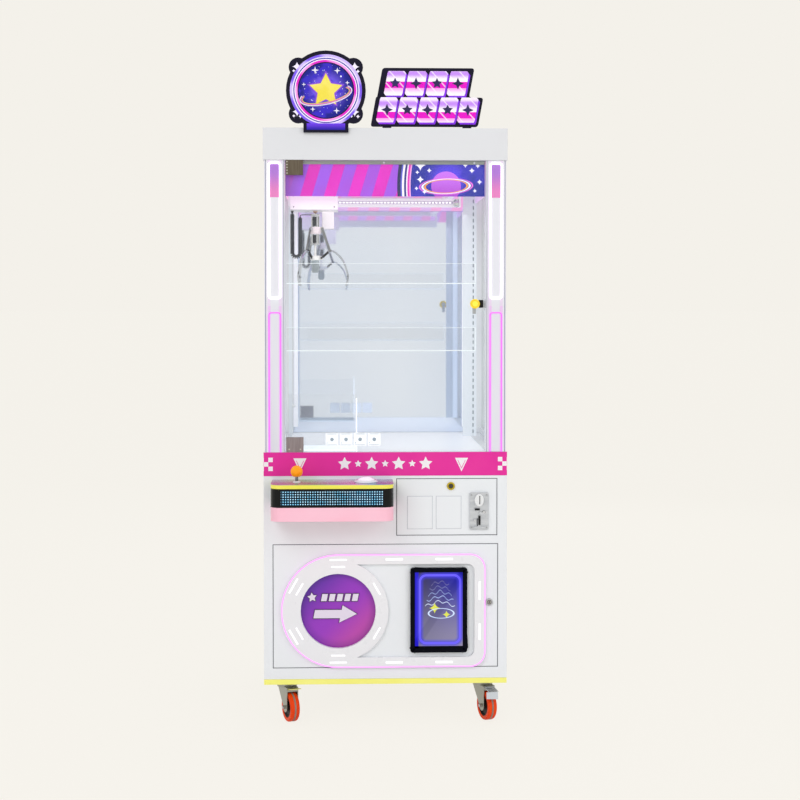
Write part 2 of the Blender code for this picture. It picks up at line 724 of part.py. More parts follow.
def banner_surround():
    """Printed boards that hide the gantry behind the top of the glass, joined at the corners."""
    low, high = FRAME_HIGH - BANNER_HEIGHT, FRAME_HIGH
    back = POST_BACK - BANNER_SET_BACK
    banner = node("banner_surround", box((-BANNER_SIDE, BANNER_FRONT, low), (BANNER_SIDE, back, high)),
                  finish("striped board", (217, 48, 200), 0.40))
    cut(banner, box((-BANNER_SIDE + BANNER, BANNER_FRONT + BANNER, low - BANNER),
                    (BANNER_SIDE - BANNER, back - BANNER, high + BANNER)))


# --- Signs ------------------------------------------------------------------------------------
def badge_sign():
    """A round board with four lobes, whose tab laps the header's front."""
    front, back = FRONT - GAP - SIGN, FRONT - GAP
    z = HEADER_TOP + BADGE_RISE
    badge = node("badge_sign", rod((BADGE_X, back, z), (BADGE_X, front, z), BADGE_RADIUS, 40),
                 finish("badge navy", (21, 16, 42), 0.35))
    turn = BADGE_LOBE_TURN
    for angle in (turn, 180 - turn, 180 + turn, 360 - turn):
        x = BADGE_X + BADGE_LOBE_OUT * math.cos(math.radians(angle))
        lobe_z = z + BADGE_LOBE_OUT * math.sin(math.radians(angle))
        weld(badge, rod((x, back, lobe_z), (x, front, lobe_z), BADGE_LOBE, 20))
    weld(badge, box((BADGE_X - BADGE_TAB / 2, front, HEADER_TOP - BADGE_LAP),
                    (BADGE_X + BADGE_TAB / 2, back, z - BADGE_RADIUS / 2)))


def row_sign():
    """A board in two slanted rows on two clear feet that stand on the header."""
    left, low = PLATE_LEFT, HEADER_TOP + PLATE_FOOT_GAP
    right = left + PLATE_WIDTH
    upper_left, upper_right = left + PLATE_UPPER_IN, left + PLATE_UPPER_IN + PLATE_UPPER_WIDTH
    step, high = low + PLATE_STEP, low + PLATE_HEIGHT
    front = FRONT + PLATE_SET_BACK
    outline = ((left, low), (right - PLATE_SLANT, low), (right, step), (upper_right - PLATE_SLANT, step),
               (upper_right, high), (upper_left + PLATE_SLANT, high), (upper_left, step),
               (left + PLATE_SLANT, step))
    sign = node("row_sign", slab(softened(outline, PLATE_CORNER), front, front + SIGN, "Y"),
                finish("sign navy", (26, 18, 60), 0.35))
    for x in (left + PLATE_FOOT_IN, right - PLATE_FOOT_IN):
        near, far = x - PLATE_FOOT_WIDTH / 2, x + PLATE_FOOT_WIDTH / 2
        foot = HEADER_TOP + GAP
        weld(sign, box((near, front + SIGN / 3, foot), (far, front + SIGN / 3 + PLATE_FOOT, step)))
        weld(sign, box((near, front + SIGN / 3, foot),
                       (far, front + PLATE_FOOT_DEPTH, foot + PLATE_FOOT)))


# --- Cam locks --------------------------------------------------------------------------------
def cam_lock(name, x, z, face, head, proud, cam_from, cam_turn, cam_length, look):
    """A turned lock in a door whose outer face is at Y of face.

    cam_from is the cam's distance behind that face, and cam_turn says which way it points at
    rest, in degrees from straight down.
    """
    place = (Matrix.Translation((x, face, z)) @ Matrix.Rotation(math.radians(90), 4, "X")
             @ Matrix.Rotation(math.radians(cam_turn), 4, "Z"))
    profile = ((0, proud), (head - LOCK_BEVEL, proud), (head, proud - LOCK_BEVEL), (head, GAP),
               (BARREL_RADIUS, GAP), (BARREL_RADIUS, -cam_from - CAM / 2), (0, -cam_from - CAM / 2))
    lock = turned(name, profile, look, place, sides=20)
    weld(lock, box((-CAM_WIDTH / 2, -cam_length, -cam_from - CAM),
                   (CAM_WIDTH / 2, CAM_END, -cam_from)))
    return lock


def lock_bore(x, z, face):
    radius = BARREL_RADIUS + BORE_GAP
    return rod((x, face - DOOR_FLANGE, z), (x, face + DOOR_FLANGE, z), radius, 20)


# --- Glass door -------------------------------------------------------------------------------
def glass_door():
    front, back = GLASS_MID - GLASS / 2, GLASS_MID + GLASS / 2
    lock_z = DECK_TOP + GLASS_LOCK_RISE
    door = node("glass_door", box((-GLASS_SIDE, front, GLASS_LOW), (GLASS_SIDE, back, GLASS_HIGH)),
                finish("door glass", (224, 234, 236), 0.02, alpha=0.15))
    cut(door, lock_bore(GLASS_LOCK_X, lock_z, GLASS_MID))
    brushed = finish("brushed hinge steel", (138, 128, 112), 0.35, 0.9)
    patches = [patch_hinge("upper_patch_hinge", HEADER_UNDER - GAP - PATCH_HEIGHT, True, brushed),
               patch_hinge("lower_patch_hinge", DECK_TOP + GAP, False, brushed)]
    lock = cam_lock("glass_door_lock", GLASS_LOCK_X, lock_z, front, GLASS_LOCK_HEAD,
                    GLASS_LOCK_PROUD, GLASS_CAM_FROM, 0, GLASS_CAM_LENGTH,
                    finish("lock yellow", (240, 196, 40), 0.40))
    hinge = hang("glass_door_hinge", (-GLASS_SIDE + PIVOT_FROM_EDGE, GLASS_MID, GLASS_LOW), door, *patches)
    hang("glass_door_lock_axis", (GLASS_LOCK_X, GLASS_MID, lock_z), lock, parent=hinge)


def patch_hinge(name, low, at_top, look):
    """A clamp round the glass, seated against the header or the deck."""
    left = -GLASS_SIDE + PATCH_FROM_EDGE
    reach = GLASS / 2 + PATCH_PROUD
    patch = node(name, box((left, GLASS_MID - reach, low),
                           (left + PATCH_WIDTH, GLASS_MID + reach, low + PATCH_HEIGHT)), look)
    slot_low = low - PATCH_HEIGHT if at_top else GLASS_LOW - GAP
    slot_high = GLASS_HIGH + GAP if at_top else low + 2 * PATCH_HEIGHT
    cut(patch, box((left - PATCH_WIDTH, GLASS_MID - GLASS / 2 - GAP, slot_low),
                   (left + 2 * PATCH_WIDTH, GLASS_MID + GLASS / 2 + GAP, slot_high)))
    return patch


def strike(frame):
    """The right post's lug, which the glass door's cam turns behind."""
    back = GLASS_MID - GLASS / 2 + GLASS_CAM_FROM - BORE_GAP
    middle = DECK_TOP + GLASS_LOCK_RISE
    weld(frame, box((POST_IN - STRIKE_WIDTH, back - STRIKE_THICK, middle - STRIKE_HEIGHT / 2),
                    (POST_IN + POST_WALL / 2, back, middle + STRIKE_HEIGHT / 2)))


# --- Service door -----------------------------------------------------------------------------
def sheet_door(name, left, right, low, high, look):
    """A sheet panel, flush with the cabinet's front, with its edges folded back."""
    door = node(name, box((left, FRONT, low), (right, FRONT + DOOR_FLANGE, high)), look)
    cut(door, box((left + SHEET, FRONT + SHEET, low + SHEET),
                  (right - SHEET, FRONT + 2 * DOOR_FLANGE, high - SHEET)))
    return door


def service_door():
    door = sheet_door("service_door", -SERVICE_SIDE, SERVICE_SIDE, SERVICE_LOW, SERVICE_HIGH,
                      finish("door white", (234, 234, 237), 0.38))
    flap_hole = rod((FLAP_X, FRONT - SURROUND * 2, FLAP_Z), (FLAP_X, FRONT + SURROUND, FLAP_Z),
                    FLAP_HOLE, 48)
    cut(door, flap_hole, lock_bore(SERVICE_LOCK_X, SERVICE_LOCK_Z, FRONT))
    surround = door_surround(flap_hole.copy())
    screen = display_screen()
    lock = cam_lock("service_door_lock", SERVICE_LOCK_X, SERVICE_LOCK_Z, FRONT, SERVICE_LOCK_HEAD,
                    LOCK_PROUD, DOOR_FLANGE + SHEET, 0, SERVICE_CAM_LENGTH,
                    finish("lock chrome", (200, 200, 198), 0.2, 1.0))
    flap, flap_axis = prize_flap()
    hinge = hang("service_door_hinge", (-SERVICE_SIDE, FRONT, SERVICE_LOW), door, surround, screen)
    hang("service_door_lock_axis", (SERVICE_LOCK_X, FRONT, SERVICE_LOCK_Z), lock, parent=hinge)
    hang("prize_flap_hinge", flap_axis, flap, parent=hinge)


def door_surround(flap_hole):
    """A raised frame round the flap and round a recess for the screen."""
    front, back = FRONT - GAP - SURROUND, FRONT - GAP
    low, high = FLAP_Z - SURROUND_ARC, FLAP_Z + SURROUND_ARC
    corner_x = SURROUND_RIGHT - SURROUND_CORNER
    outline = arc((FLAP_X, FLAP_Z), SURROUND_ARC, 90, 270, 20)
    outline += arc((corner_x, low + SURROUND_CORNER), SURROUND_CORNER, 270, 360)
    outline += arc((corner_x, high - SURROUND_CORNER), SURROUND_CORNER, 0, 90)
    surround = node("door_surround", slab(outline, front, back, "Y"),
                    finish("surround white", (242, 242, 245), 0.30))
    lean = math.degrees(math.asin(RECESS_HALF_HEIGHT / RECESS_ARC))
    recess = arc((FLAP_X, FLAP_Z), RECESS_ARC, lean, -lean, 12)
    recess_x = RECESS_RIGHT - RECESS_CORNER
    recess_z = RECESS_HALF_HEIGHT - RECESS_CORNER
    recess += arc((recess_x, FLAP_Z - recess_z), RECESS_CORNER, 270, 360)
    recess += arc((recess_x, FLAP_Z + recess_z), RECESS_CORNER, 0, 90)
    cut(surround, flap_hole, slab(recess, front - SURROUND, back + SURROUND, "Y"))
    return surround


def display_screen():
    front, back = FRONT - GAP - SCREEN_THICK, FRONT - GAP
    half_x, half_z = SCREEN_WIDTH / 2, SCREEN_HEIGHT / 2
    screen = node("display_screen", box((SCREEN_X - half_x, front, SCREEN_Z - half_z),
                                        (SCREEN_X + half_x, back, SCREEN_Z + half_z)),
                  finish("screen black", (10, 10, 18), 0.15))
    cut(screen, box((SCREEN_X - half_x + SCREEN_RIM, front - SCREEN_THICK, SCREEN_Z - half_z + SCREEN_RIM),
                    (SCREEN_X + half_x - SCREEN_RIM, front + SCREEN_RECESS,
                     SCREEN_Z + half_z - SCREEN_RIM)))
    return screen


def prize_flap():
    """A disc behind the door's round hole, hung from a pin along its top."""
    radius = FLAP_HOLE + FLAP_LAP
    front = FRONT + FLAP_SET_BACK
    axis_y = front + FLAP / 2
    axis_z = FLAP_Z + radius + FLAP_PIN_RADIUS / 2
    flap = node("prize_flap", rod((FLAP_X, front + FLAP, FLAP_Z), (FLAP_X, front, FLAP_Z), radius, 48),
                finish("flap violet", (107, 45, 165), 0.35))
    half = FLAP_PIN_LENGTH / 2
    weld(flap, rod((FLAP_X - half, axis_y, axis_z), (FLAP_X + half, axis_y, axis_z), FLAP_PIN_RADIUS, 12))
    return flap, (FLAP_X, axis_y, axis_z)


# --- Coin door --------------------------------------------------------------------------------
def coin_door():
    door = sheet_door("coin_door", COIN_LEFT, COIN_RIGHT, COIN_LOW, COIN_HIGH,
                      finish("coin door white", (236, 236, 239), 0.38))
    half_x, half_z = ACCEPTOR_BODY_WIDTH / 2 + BORE_GAP, ACCEPTOR_BODY_HEIGHT / 2 + BORE_GAP
    cut(door, lock_bore(COIN_LOCK_X, COIN_LOCK_Z, FRONT),
        box((ACCEPTOR_X - half_x, FRONT - SHEET, ACCEPTOR_Z - half_z),
            (ACCEPTOR_X + half_x, FRONT + 2 * SHEET, ACCEPTOR_Z + half_z)))
    for x in BLANK_XS:
        weld(door, box((x - BLANK_WIDTH / 2, FRONT - BLANK_PROUD, BLANK_Z - BLANK_HEIGHT / 2),
                       (x + BLANK_WIDTH / 2, FRONT + SHEET / 2, BLANK_Z + BLANK_HEIGHT / 2)))
    lock = cam_lock("coin_door_lock", COIN_LOCK_X, COIN_LOCK_Z, FRONT, COIN_LOCK_HEAD, LOCK_PROUD,
                    DOOR_FLANGE + SHEET, -90, COIN_CAM_LENGTH,
                    finish("coin lock chrome", (190, 176, 140), 0.25, 1.0))
    acceptor, button, button_place = coin_acceptor()
    hinge = hang("coin_door_hinge", (COIN_LEFT, FRONT, COIN_LOW), door, acceptor)
    hang("coin_door_lock_axis", (COIN_LOCK_X, FRONT, COIN_LOCK_Z), lock, parent=hinge)
    hang("coin_return_slide", button_place, button, parent=hinge)


def coin_acceptor():
    """Face plate with an oval entry boss, its body behind the door, and two narrow slots."""
    back, front = FRONT - GAP, FRONT - GAP - ACCEPTOR_FACE
    half_x, half_z = ACCEPTOR_WIDTH / 2, ACCEPTOR_HEIGHT / 2
    outline = rounded((ACCEPTOR_X - half_x, ACCEPTOR_Z - half_z),
                      (ACCEPTOR_X + half_x, ACCEPTOR_Z + half_z), (ACCEPTOR_CORNER,) * 4, 3)
    acceptor = node("coin_acceptor", slab(outline, front, back, "Y"),
                    finish("acceptor chrome", (205, 205, 208), 0.25, 1.0))
    body_x, body_z = ACCEPTOR_BODY_WIDTH / 2, ACCEPTOR_BODY_HEIGHT / 2
    slot_z, return_z = ACCEPTOR_Z + BOSS_RISE, ACCEPTOR_Z - RETURN_DROP
    weld(acceptor,
         box((ACCEPTOR_X - body_x, front + ACCEPTOR_FACE / 2, ACCEPTOR_Z - body_z),
             (ACCEPTOR_X + body_x, FRONT + ACCEPTOR_BODY_DEPTH, ACCEPTOR_Z + body_z)),
         rod((ACCEPTOR_X, front + ACCEPTOR_FACE / 2, slot_z), (ACCEPTOR_X, front - BOSS_PROUD, slot_z),
             BOSS_RADIUS, 24))
    half_slot = SLOT_WIDTH / 2
    button_x, button_z = ACCEPTOR_X + BUTTON_SIDE, ACCEPTOR_Z - BUTTON_DROP
    bore_end = front + BUTTON_BORE
    cut(acceptor,
        box((ACCEPTOR_X - half_slot, front - SURROUND, slot_z - SLOT_HEIGHT / 2),
            (ACCEPTOR_X + half_slot, front + SLOT_DEPTH, slot_z + SLOT_HEIGHT / 2)),
        box((ACCEPTOR_X - RETURN_SIDE - half_slot, front - SURROUND, return_z - SLOT_HEIGHT / 2),
            (ACCEPTOR_X - RETURN_SIDE + half_slot, front + SLOT_DEPTH, return_z + SLOT_HEIGHT / 2)),
        rod((button_x, front - SURROUND, button_z), (button_x, bore_end, button_z),
            BUTTON_RADIUS + GAP, 16))
    button_end = bore_end - RETURN_TRAVEL - BORE_GAP
    button = node("coin_return_button", rod((button_x, button_end, button_z),
                                            (button_x, front - BUTTON_PROUD, button_z),
                                            BUTTON_RADIUS, 16),
                  finish("return button chrome", (190, 190, 192), 0.3, 1.0))
    return acceptor, button, (button_x, front, button_z)


# --- Console ----------------------------------------------------------------------------------
def console_outline(inset):
    back = CONSOLE_BACK_CORNER
    corner = CONSOLE_CORNER - inset
    return rounded((CONSOLE_LEFT + inset, CONSOLE_FRONT + inset),
                   (CONSOLE_RIGHT - inset, FRONT - GAP - inset), (corner, corner, back, back))


def console():
    """A tray and housing on the cabinet's front, its light panel, and its lid."""
    body_high = CONSOLE_LOW + CONSOLE_BODY
    body = node("console_body", slab(console_outline(0), CONSOLE_LOW, body_high),
                finish("tray pink", (253, 192, 211), 0.40))
    front = CONSOLE_FRONT
    middle = (CONSOLE_LEFT + CONSOLE_RIGHT) / 2
    window = (CONSOLE_RIGHT - CONSOLE_LEFT) / 2 - CONSOLE_CORNER - MATRIX_MARGIN
    half_z = MATRIX_HEIGHT / 2
    cut(body, slab(console_outline(CONSOLE_WALL), CONSOLE_LOW + CONSOLE_WALL, body_high + CONSOLE_WALL))
    cut(body, box((middle - window, front - CONSOLE_WALL, MATRIX_Z - half_z),
                  (middle + window, front + 2 * CONSOLE_WALL, MATRIX_Z + half_z)))
    near = front + CONSOLE_WALL + GAP
    module = window + MATRIX_MARGIN
    node("matrix_display", box((middle - module, near, MATRIX_Z - half_z - MATRIX_LAP),
                               (middle + module, near + MATRIX_THICK,
                                MATRIX_Z + half_z + MATRIX_LAP)),
         finish("matrix black", (6, 8, 12), 0.25))
    lid = node("console_top", slab(console_outline(0), LID_LOW, LID_TOP),
               finish("lid yellow", (250, 240, 120), 0.35))
    cut(lid, slab(console_outline(CONSOLE_WALL), LID_LOW - CONSOLE_WALL, LID_TOP - LID_PLATE))
    ear_low = STICK_Z - EAR_DROP
    for side in (-1, 1):
        near_x, far_x = sorted((STICK_X + side * (GIMBAL / 2 + GAP), STICK_X + side * (GIMBAL / 2 + GAP + EAR)))
        weld(lid, box((near_x, CONTROL_Y - EAR_WIDTH / 2, ear_low),
                      (far_x, CONTROL_Y + EAR_WIDTH / 2, LID_TOP - LID_PLATE / 2)))
    swing = math.tan(math.radians(STICK_SWING)) * STICK_PIVOT_DROP
    stick_hole = swing + STICK_RADIUS / math.cos(math.radians(STICK_SWING)) + 2 * SHEET
    cut(lid, rod((STICK_X, CONTROL_Y, LID_TOP - 2 * LID_PLATE), (STICK_X, CONTROL_Y, LID_TOP + LID_PLATE),
                 stick_hole, 20),
        rod((DROP_X, CONTROL_Y, LID_TOP - 2 * LID_PLATE), (DROP_X, CONTROL_Y, LID_TOP + LID_PLATE),
            BARREL_OUT + GAP, 32))


def joystick():
    """A gimbal between the lid's ears, and the stick that tilts in the gimbal."""
    half = GIMBAL / 2
    steel = finish("gimbal steel", (120, 124, 130), 0.4, 0.9)
    gimbal = node("joystick_gimbal", box((STICK_X - half, CONTROL_Y - half, STICK_Z - GIMBAL_HEIGHT / 2),
                                         (STICK_X + half, CONTROL_Y + half, STICK_Z + GIMBAL_HEIGHT / 2)),
                  steel)
    tilt = math.radians(STICK_SWING)
    slot = STICK_RADIUS / math.cos(tilt) + math.tan(tilt) * GIMBAL_HEIGHT / 2 + BORE_GAP
    across = STICK_RADIUS + GAP
    cut(gimbal, box((STICK_X - slot, CONTROL_Y - across, STICK_Z - GIMBAL_HEIGHT),
                    (STICK_X + slot, CONTROL_Y + across, STICK_Z + GIMBAL_HEIGHT)))
    ball_z = LID_TOP + BALL_RISE
    shaft = node("joystick_shaft", rod((STICK_X, CONTROL_Y, STICK_Z - STICK_TAIL),
                                       (STICK_X, CONTROL_Y, ball_z - BALL_FLAT - GAP), STICK_RADIUS, 16),
                 finish("shaft chrome", (210, 210, 212), 0.15, 1.0))
    flat = math.sqrt(BALL_RADIUS ** 2 - BALL_FLAT ** 2)
    profile = [(0, BALL_RADIUS)] + [(BALL_RADIUS * math.cos(math.radians(a)),
                                     BALL_RADIUS * math.sin(math.radians(a)))
                                    for a in (70, 50, 30, 10, -10, -30)]
    profile += [(flat, -BALL_FLAT), (0, -BALL_FLAT)]
    ball = turned("joystick_ball", profile, finish("ball orange", (255, 163, 10), 0.3),
                  Matrix.Translation((STICK_X, CONTROL_Y, ball_z)), sides=20)
    outer = hang("joystick_front_back", (STICK_X, CONTROL_Y, STICK_Z), gimbal)
    hang("joystick_left_right", (STICK_X, CONTROL_Y, STICK_Z), shaft, ball, parent=outer)


def drop_button():
    """A domed button in a flanged barrel with a stop ring."""
    bore = DROP_RADIUS + GAP
    place = Matrix.Translation((DROP_X, CONTROL_Y, LID_TOP))
    bezel = ((bore, BEZEL_HEIGHT), (BEZEL_RADIUS - BEZEL_EDGE, BEZEL_HEIGHT),
             (BEZEL_RADIUS, BEZEL_HEIGHT - BEZEL_EDGE), (BEZEL_RADIUS, GAP), (BARREL_OUT, GAP),
             (BARREL_OUT, -BEZEL_DEPTH), (BEZEL_STOP_RADIUS, -BEZEL_DEPTH), (BEZEL_STOP_RADIUS, -BEZEL_DEPTH + BEZEL_STOP),
             (bore, -BEZEL_DEPTH + BEZEL_STOP))
    turned("button_bezel", bezel, finish("bezel white", (240, 240, 244), 0.35), place, 32, ring=True)
    shoulder = DROP_RISE - DROP_DOME
    dome = [(0, DROP_RISE)] + [(DROP_RADIUS * math.sin(math.radians(a)),
                                shoulder + DROP_DOME * math.cos(math.radians(a))) for a in (25, 50, 70)]
    dome += [(DROP_RADIUS, shoulder), (DROP_RADIUS, -DROP_SKIRT), (0, -DROP_SKIRT)]
    button = turned("drop_button", dome, finish("button clear white", (246, 240, 250), 0.2), place, 32)
    hang("drop_button_slide", (DROP_X, CONTROL_Y, LID_TOP), button)


# --- Gantry -----------------------------------------------------------------------------------
def crane_frame():
    """A welded frame: two rails, their end bars, and four hangers up to the header."""
    high = RAIL_LOW + RAIL
    frame = node("crane_frame", box((RAIL_LEFT, GANTRY_FRONT, RAIL_LOW), (RAIL_RIGHT, GANTRY_BACK, high)),
                 finish("rail steel", (188, 192, 196), 0.35, 0.9))
    cut(frame, box((RAIL_LEFT + RAIL, GANTRY_FRONT + RAIL, RAIL_LOW - RAIL),
                   (RAIL_RIGHT - RAIL, GANTRY_BACK - RAIL, high + RAIL)))
    for x in (RAIL_LEFT, RAIL_RIGHT - RAIL):
        for y in (GANTRY_FRONT, GANTRY_BACK - RAIL):
            weld(frame, box((x, y, RAIL_LOW + RAIL / 2), (x + RAIL, y + RAIL, HEADER_UNDER - GAP)))


def crane_bridge():
    """A beam across the machine with a truck under each rail."""
    low, high = BEAM_Z - BEAM_HEIGHT / 2, BEAM_Z + BEAM_HEIGHT / 2
    left, right = RAIL_LEFT - TRUCK_OUT, RAIL_RIGHT + TRUCK_OUT
    top = RAIL_LOW - GAP
    bridge = node("crane_bridge", box((left, CLAW_Y - BEAM_DEPTH / 2, low),
                                      (right, CLAW_Y + BEAM_DEPTH / 2, high)),
                  finish("beam aluminium", (206, 210, 214), 0.35, 0.8))
    for outer, inner in ((left, left + TRUCK), (right, right - TRUCK)):
        web = sorted((outer, inner))
        plate = sorted((outer, outer + math.copysign(TRUCK_PLATE, inner - outer)))
        weld(bridge,
             box((web[0], CLAW_Y - BEAM_DEPTH, low), (web[1], CLAW_Y + BEAM_DEPTH, top)),
             box((plate[0], CLAW_Y - BEAM_DEPTH, top - TRUCK_TOP), (plate[1], CLAW_Y + BEAM_DEPTH, top)))
    return bridge


def crane_carriage():
    """The box that runs along the beam, with the hoist's motor cover under it."""
    right = CARRIAGE_LEFT + CARRIAGE_WIDTH
    back = CLAW_Y + CARRIAGE_DEPTH / 2
    high = CARRIAGE_LOW + CARRIAGE_HEIGHT
    carriage = node("crane_carriage", box((CARRIAGE_LEFT, CLAW_Y - CARRIAGE_DEPTH / 2, CARRIAGE_LOW),
                                          (right, back, high)),
                    finish("carriage white", (238, 238, 240), 0.40))
    motor_x = CLAW_X + COLLAR_RADIUS + MOTOR_IN
    motor_back = back - MOTOR_IN
    weld(carriage, box((motor_x, motor_back - MOTOR_DEPTH, CARRIAGE_LOW - MOTOR_HEIGHT),
                       (motor_x + MOTOR_WIDTH, motor_back, CARRIAGE_LOW + MOTOR_IN)))
    play = BORE_GAP
    cut(carriage, box((CARRIAGE_LEFT - BEAM_DEPTH, CLAW_Y - BEAM_DEPTH / 2 - play,
                       BEAM_Z - BEAM_HEIGHT / 2 - play),
                      (right + BEAM_DEPTH, CLAW_Y + BEAM_DEPTH / 2 + play,
                       BEAM_Z + BEAM_HEIGHT / 2 + play)))
    return carriage


def hoist_cord():
    return node("hoist_cord", rod((CLAW_X, CLAW_Y, HEAD_TOP + GAP), (CLAW_X, CLAW_Y, CARRIAGE_LOW - GAP),
                                  CORD_RADIUS, 12),
                finish("hoist line", (60, 62, 66), 0.6))


def curly_cord():
    """The claw's cord at its coil's outer size, in a loop below the carriage."""
    left = CLAW_X - CURL_LEFT
    right = left + CURL_SPAN
    bend = CURL_SPAN / 2
    bend_z = CARRIAGE_LOW - CURL_DROP + CURL_RADIUS + bend
    points = [(left, CLAW_Y, CARRIAGE_LOW - GAP), (left, CLAW_Y, (CARRIAGE_LOW + bend_z) / 2)]
    points += [(a, CLAW_Y, b) for a, b in arc((left + bend, bend_z), bend, 180, 360, 8)]
    points += [(right, CLAW_Y, (CARRIAGE_LOW + bend_z) / 2), (right, CLAW_Y, CARRIAGE_LOW - CURL_RISE)]
    return tube("curly_cord", points, CURL_RADIUS, finish("cord dark grey", (70, 74, 84), 0.6))


# --- Claw -------------------------------------------------------------------------------------
def radial(turn):
    """Places a piece that is modelled along +X from the claw's axis."""
    return Matrix.Translation((CLAW_X, CLAW_Y, 0)) @ Matrix.Rotation(math.radians(turn), 4, "Z")


def claw_turns():
    return [(n + 1, 360 * n / PRONGS) for n in range(PRONGS)]


def claw_head():
    """The coil's housing on the hoist line, with a blind bore for the plunger."""
    bore = PLUNGER_RADIUS + BORE_GAP
    bore_top = HEAD_LOW + PLUNGER_IN + CLOSE_TRAVEL + BORE_GAP
    profile = ((0, HEAD_TOP), (HEAD_CAP_RADIUS, HEAD_TOP), (HEAD_CAP_RADIUS, HEAD_TOP - HEAD_CAP),
               (HEAD_UPPER_RADIUS, HEAD_TOP - HEAD_CAP), (HEAD_UPPER_RADIUS, COLLAR_TOP),
               (COLLAR_RADIUS, COLLAR_TOP), (COLLAR_RADIUS, COLLAR_TOP - COLLAR),
               (HEAD_LOWER_RADIUS, COLLAR_TOP - COLLAR), (HEAD_LOWER_RADIUS, HEAD_LOW),
               (bore, HEAD_LOW), (bore, bore_top), (0, bore_top))
    head = turned("claw_head", profile, finish("claw chrome", (214, 216, 220), 0.15, 1.0), radial(0))
    for _, turn in claw_turns():
        weld(head, lug(turn, COLLAR_RADIUS - SHEET, HEAD_PIVOT + LUG_PAST, -PRONG_RADIUS, PRONG_RADIUS,
                       HEAD_PIVOT_Z))
    return head


def lug(turn, near, far, low_side, high_side, z):
    """A lug from the claw's axis outwards; its sides are measured across it."""
    mesh = box((near, low_side, z - LUG_HALF_HEIGHT), (far, high_side, z + LUG_HALF_HEIGHT))
    mesh.transform(Matrix.Rotation(math.radians(turn), 4, "Z"))
    return mesh


def claw_hub():
    """The plunger, the hub that it lifts, and the bell below."""
    hub_low = HUB_TOP - HUB_HEIGHT
    top = HEAD_LOW + PLUNGER_IN
    profile = ((0, top), (PLUNGER_RADIUS, top), (PLUNGER_RADIUS, HUB_TOP), (HUB_RADIUS, HUB_TOP),
               (HUB_RADIUS, hub_low), (BELL_RADIUS, hub_low), (BELL_RADIUS, hub_low - BELL_HEIGHT),
               (0, hub_low - BELL_HEIGHT))
    hub = turned("claw_hub", profile, finish("hub chrome", (208, 212, 216), 0.2, 0.9), radial(0))
    for _, turn in claw_turns():
        side = PRONG_RADIUS + GAP
        weld(hub, lug(turn, HUB_RADIUS - SHEET, HUB_PIVOT + LUG_PAST, side, side + LUG, HUB_PIVOT_Z))
    return hub


def claw_prong(number, turn):
    """From its pivot on the hub up to the knee, then out and down to the tip."""
    route = [(HUB_PIVOT, 0), (KNEE_OUT, KNEE_RISE), *PRONG_ROUTE]
    points = smooth_route([(out, 0, HUB_PIVOT_Z + up) for out, up in route], 2)
    prong = tube(f"claw_prong_{number}", points, PRONG_RADIUS,
                 finish(f"prong {number} chrome", (214, 216, 220), 0.15, 1.0))
    prong.matrix_world = radial(turn)
    return prong


def claw_link(number, turn):
    """A flat bar from the head's lug to the knee, beside the prong."""
    knee_z = HUB_PIVOT_Z + KNEE_RISE
    run, drop = KNEE_OUT - HEAD_PIVOT, HEAD_PIVOT_Z - knee_z
    length = math.hypot(run, drop)
    half = LINK_WIDTH / 2
    outline = arc((0, 0), half, 90, 270) + arc((length, 0), half, -90, 90)
    mesh = slab(outline, -PRONG_RADIUS - GAP - LINK, -PRONG_RADIUS - GAP, "Y")
    lean = math.atan2(drop, run)
    mesh.transform(Matrix.Translation((HEAD_PIVOT, 0, HEAD_PIVOT_Z)) @ Matrix.Rotation(lean, 4, "Y"))
    return node(f"claw_link_{number}", mesh, finish(f"link {number} grey", (150, 153, 158), 0.35, 0.9),
                radial(turn))


def crane():
    crane_frame()
    bridge, carriage = crane_bridge(), crane_carriage()
    head, hub = claw_head(), claw_hub()
    bridge_axis = hang("bridge_slide", (0, CLAW_Y, BEAM_Z), bridge)
    carriage_axis = hang("carriage_slide", (CLAW_X, CLAW_Y, BEAM_Z), carriage, hoist_cord(), curly_cord(),
                         parent=bridge_axis)
    hoist = hang("hoist_slide", (CLAW_X, CLAW_Y, HEAD_TOP), head, parent=carriage_axis)
    plunger = hang("plunger_slide", (CLAW_X, CLAW_Y, HUB_TOP), hub, parent=hoist)
    for number, turn in claw_turns():
        at = radial(turn)
        hang(f"prong_{number}_pivot", at @ Vector((HUB_PIVOT, 0, HUB_PIVOT_Z)), claw_prong(number, turn),
             parent=plunger)
        hang(f"link_{number}_pivot", at @ Vector((HEAD_PIVOT, 0, HEAD_PIVOT_Z)), claw_link(number, turn),
             parent=hoist)


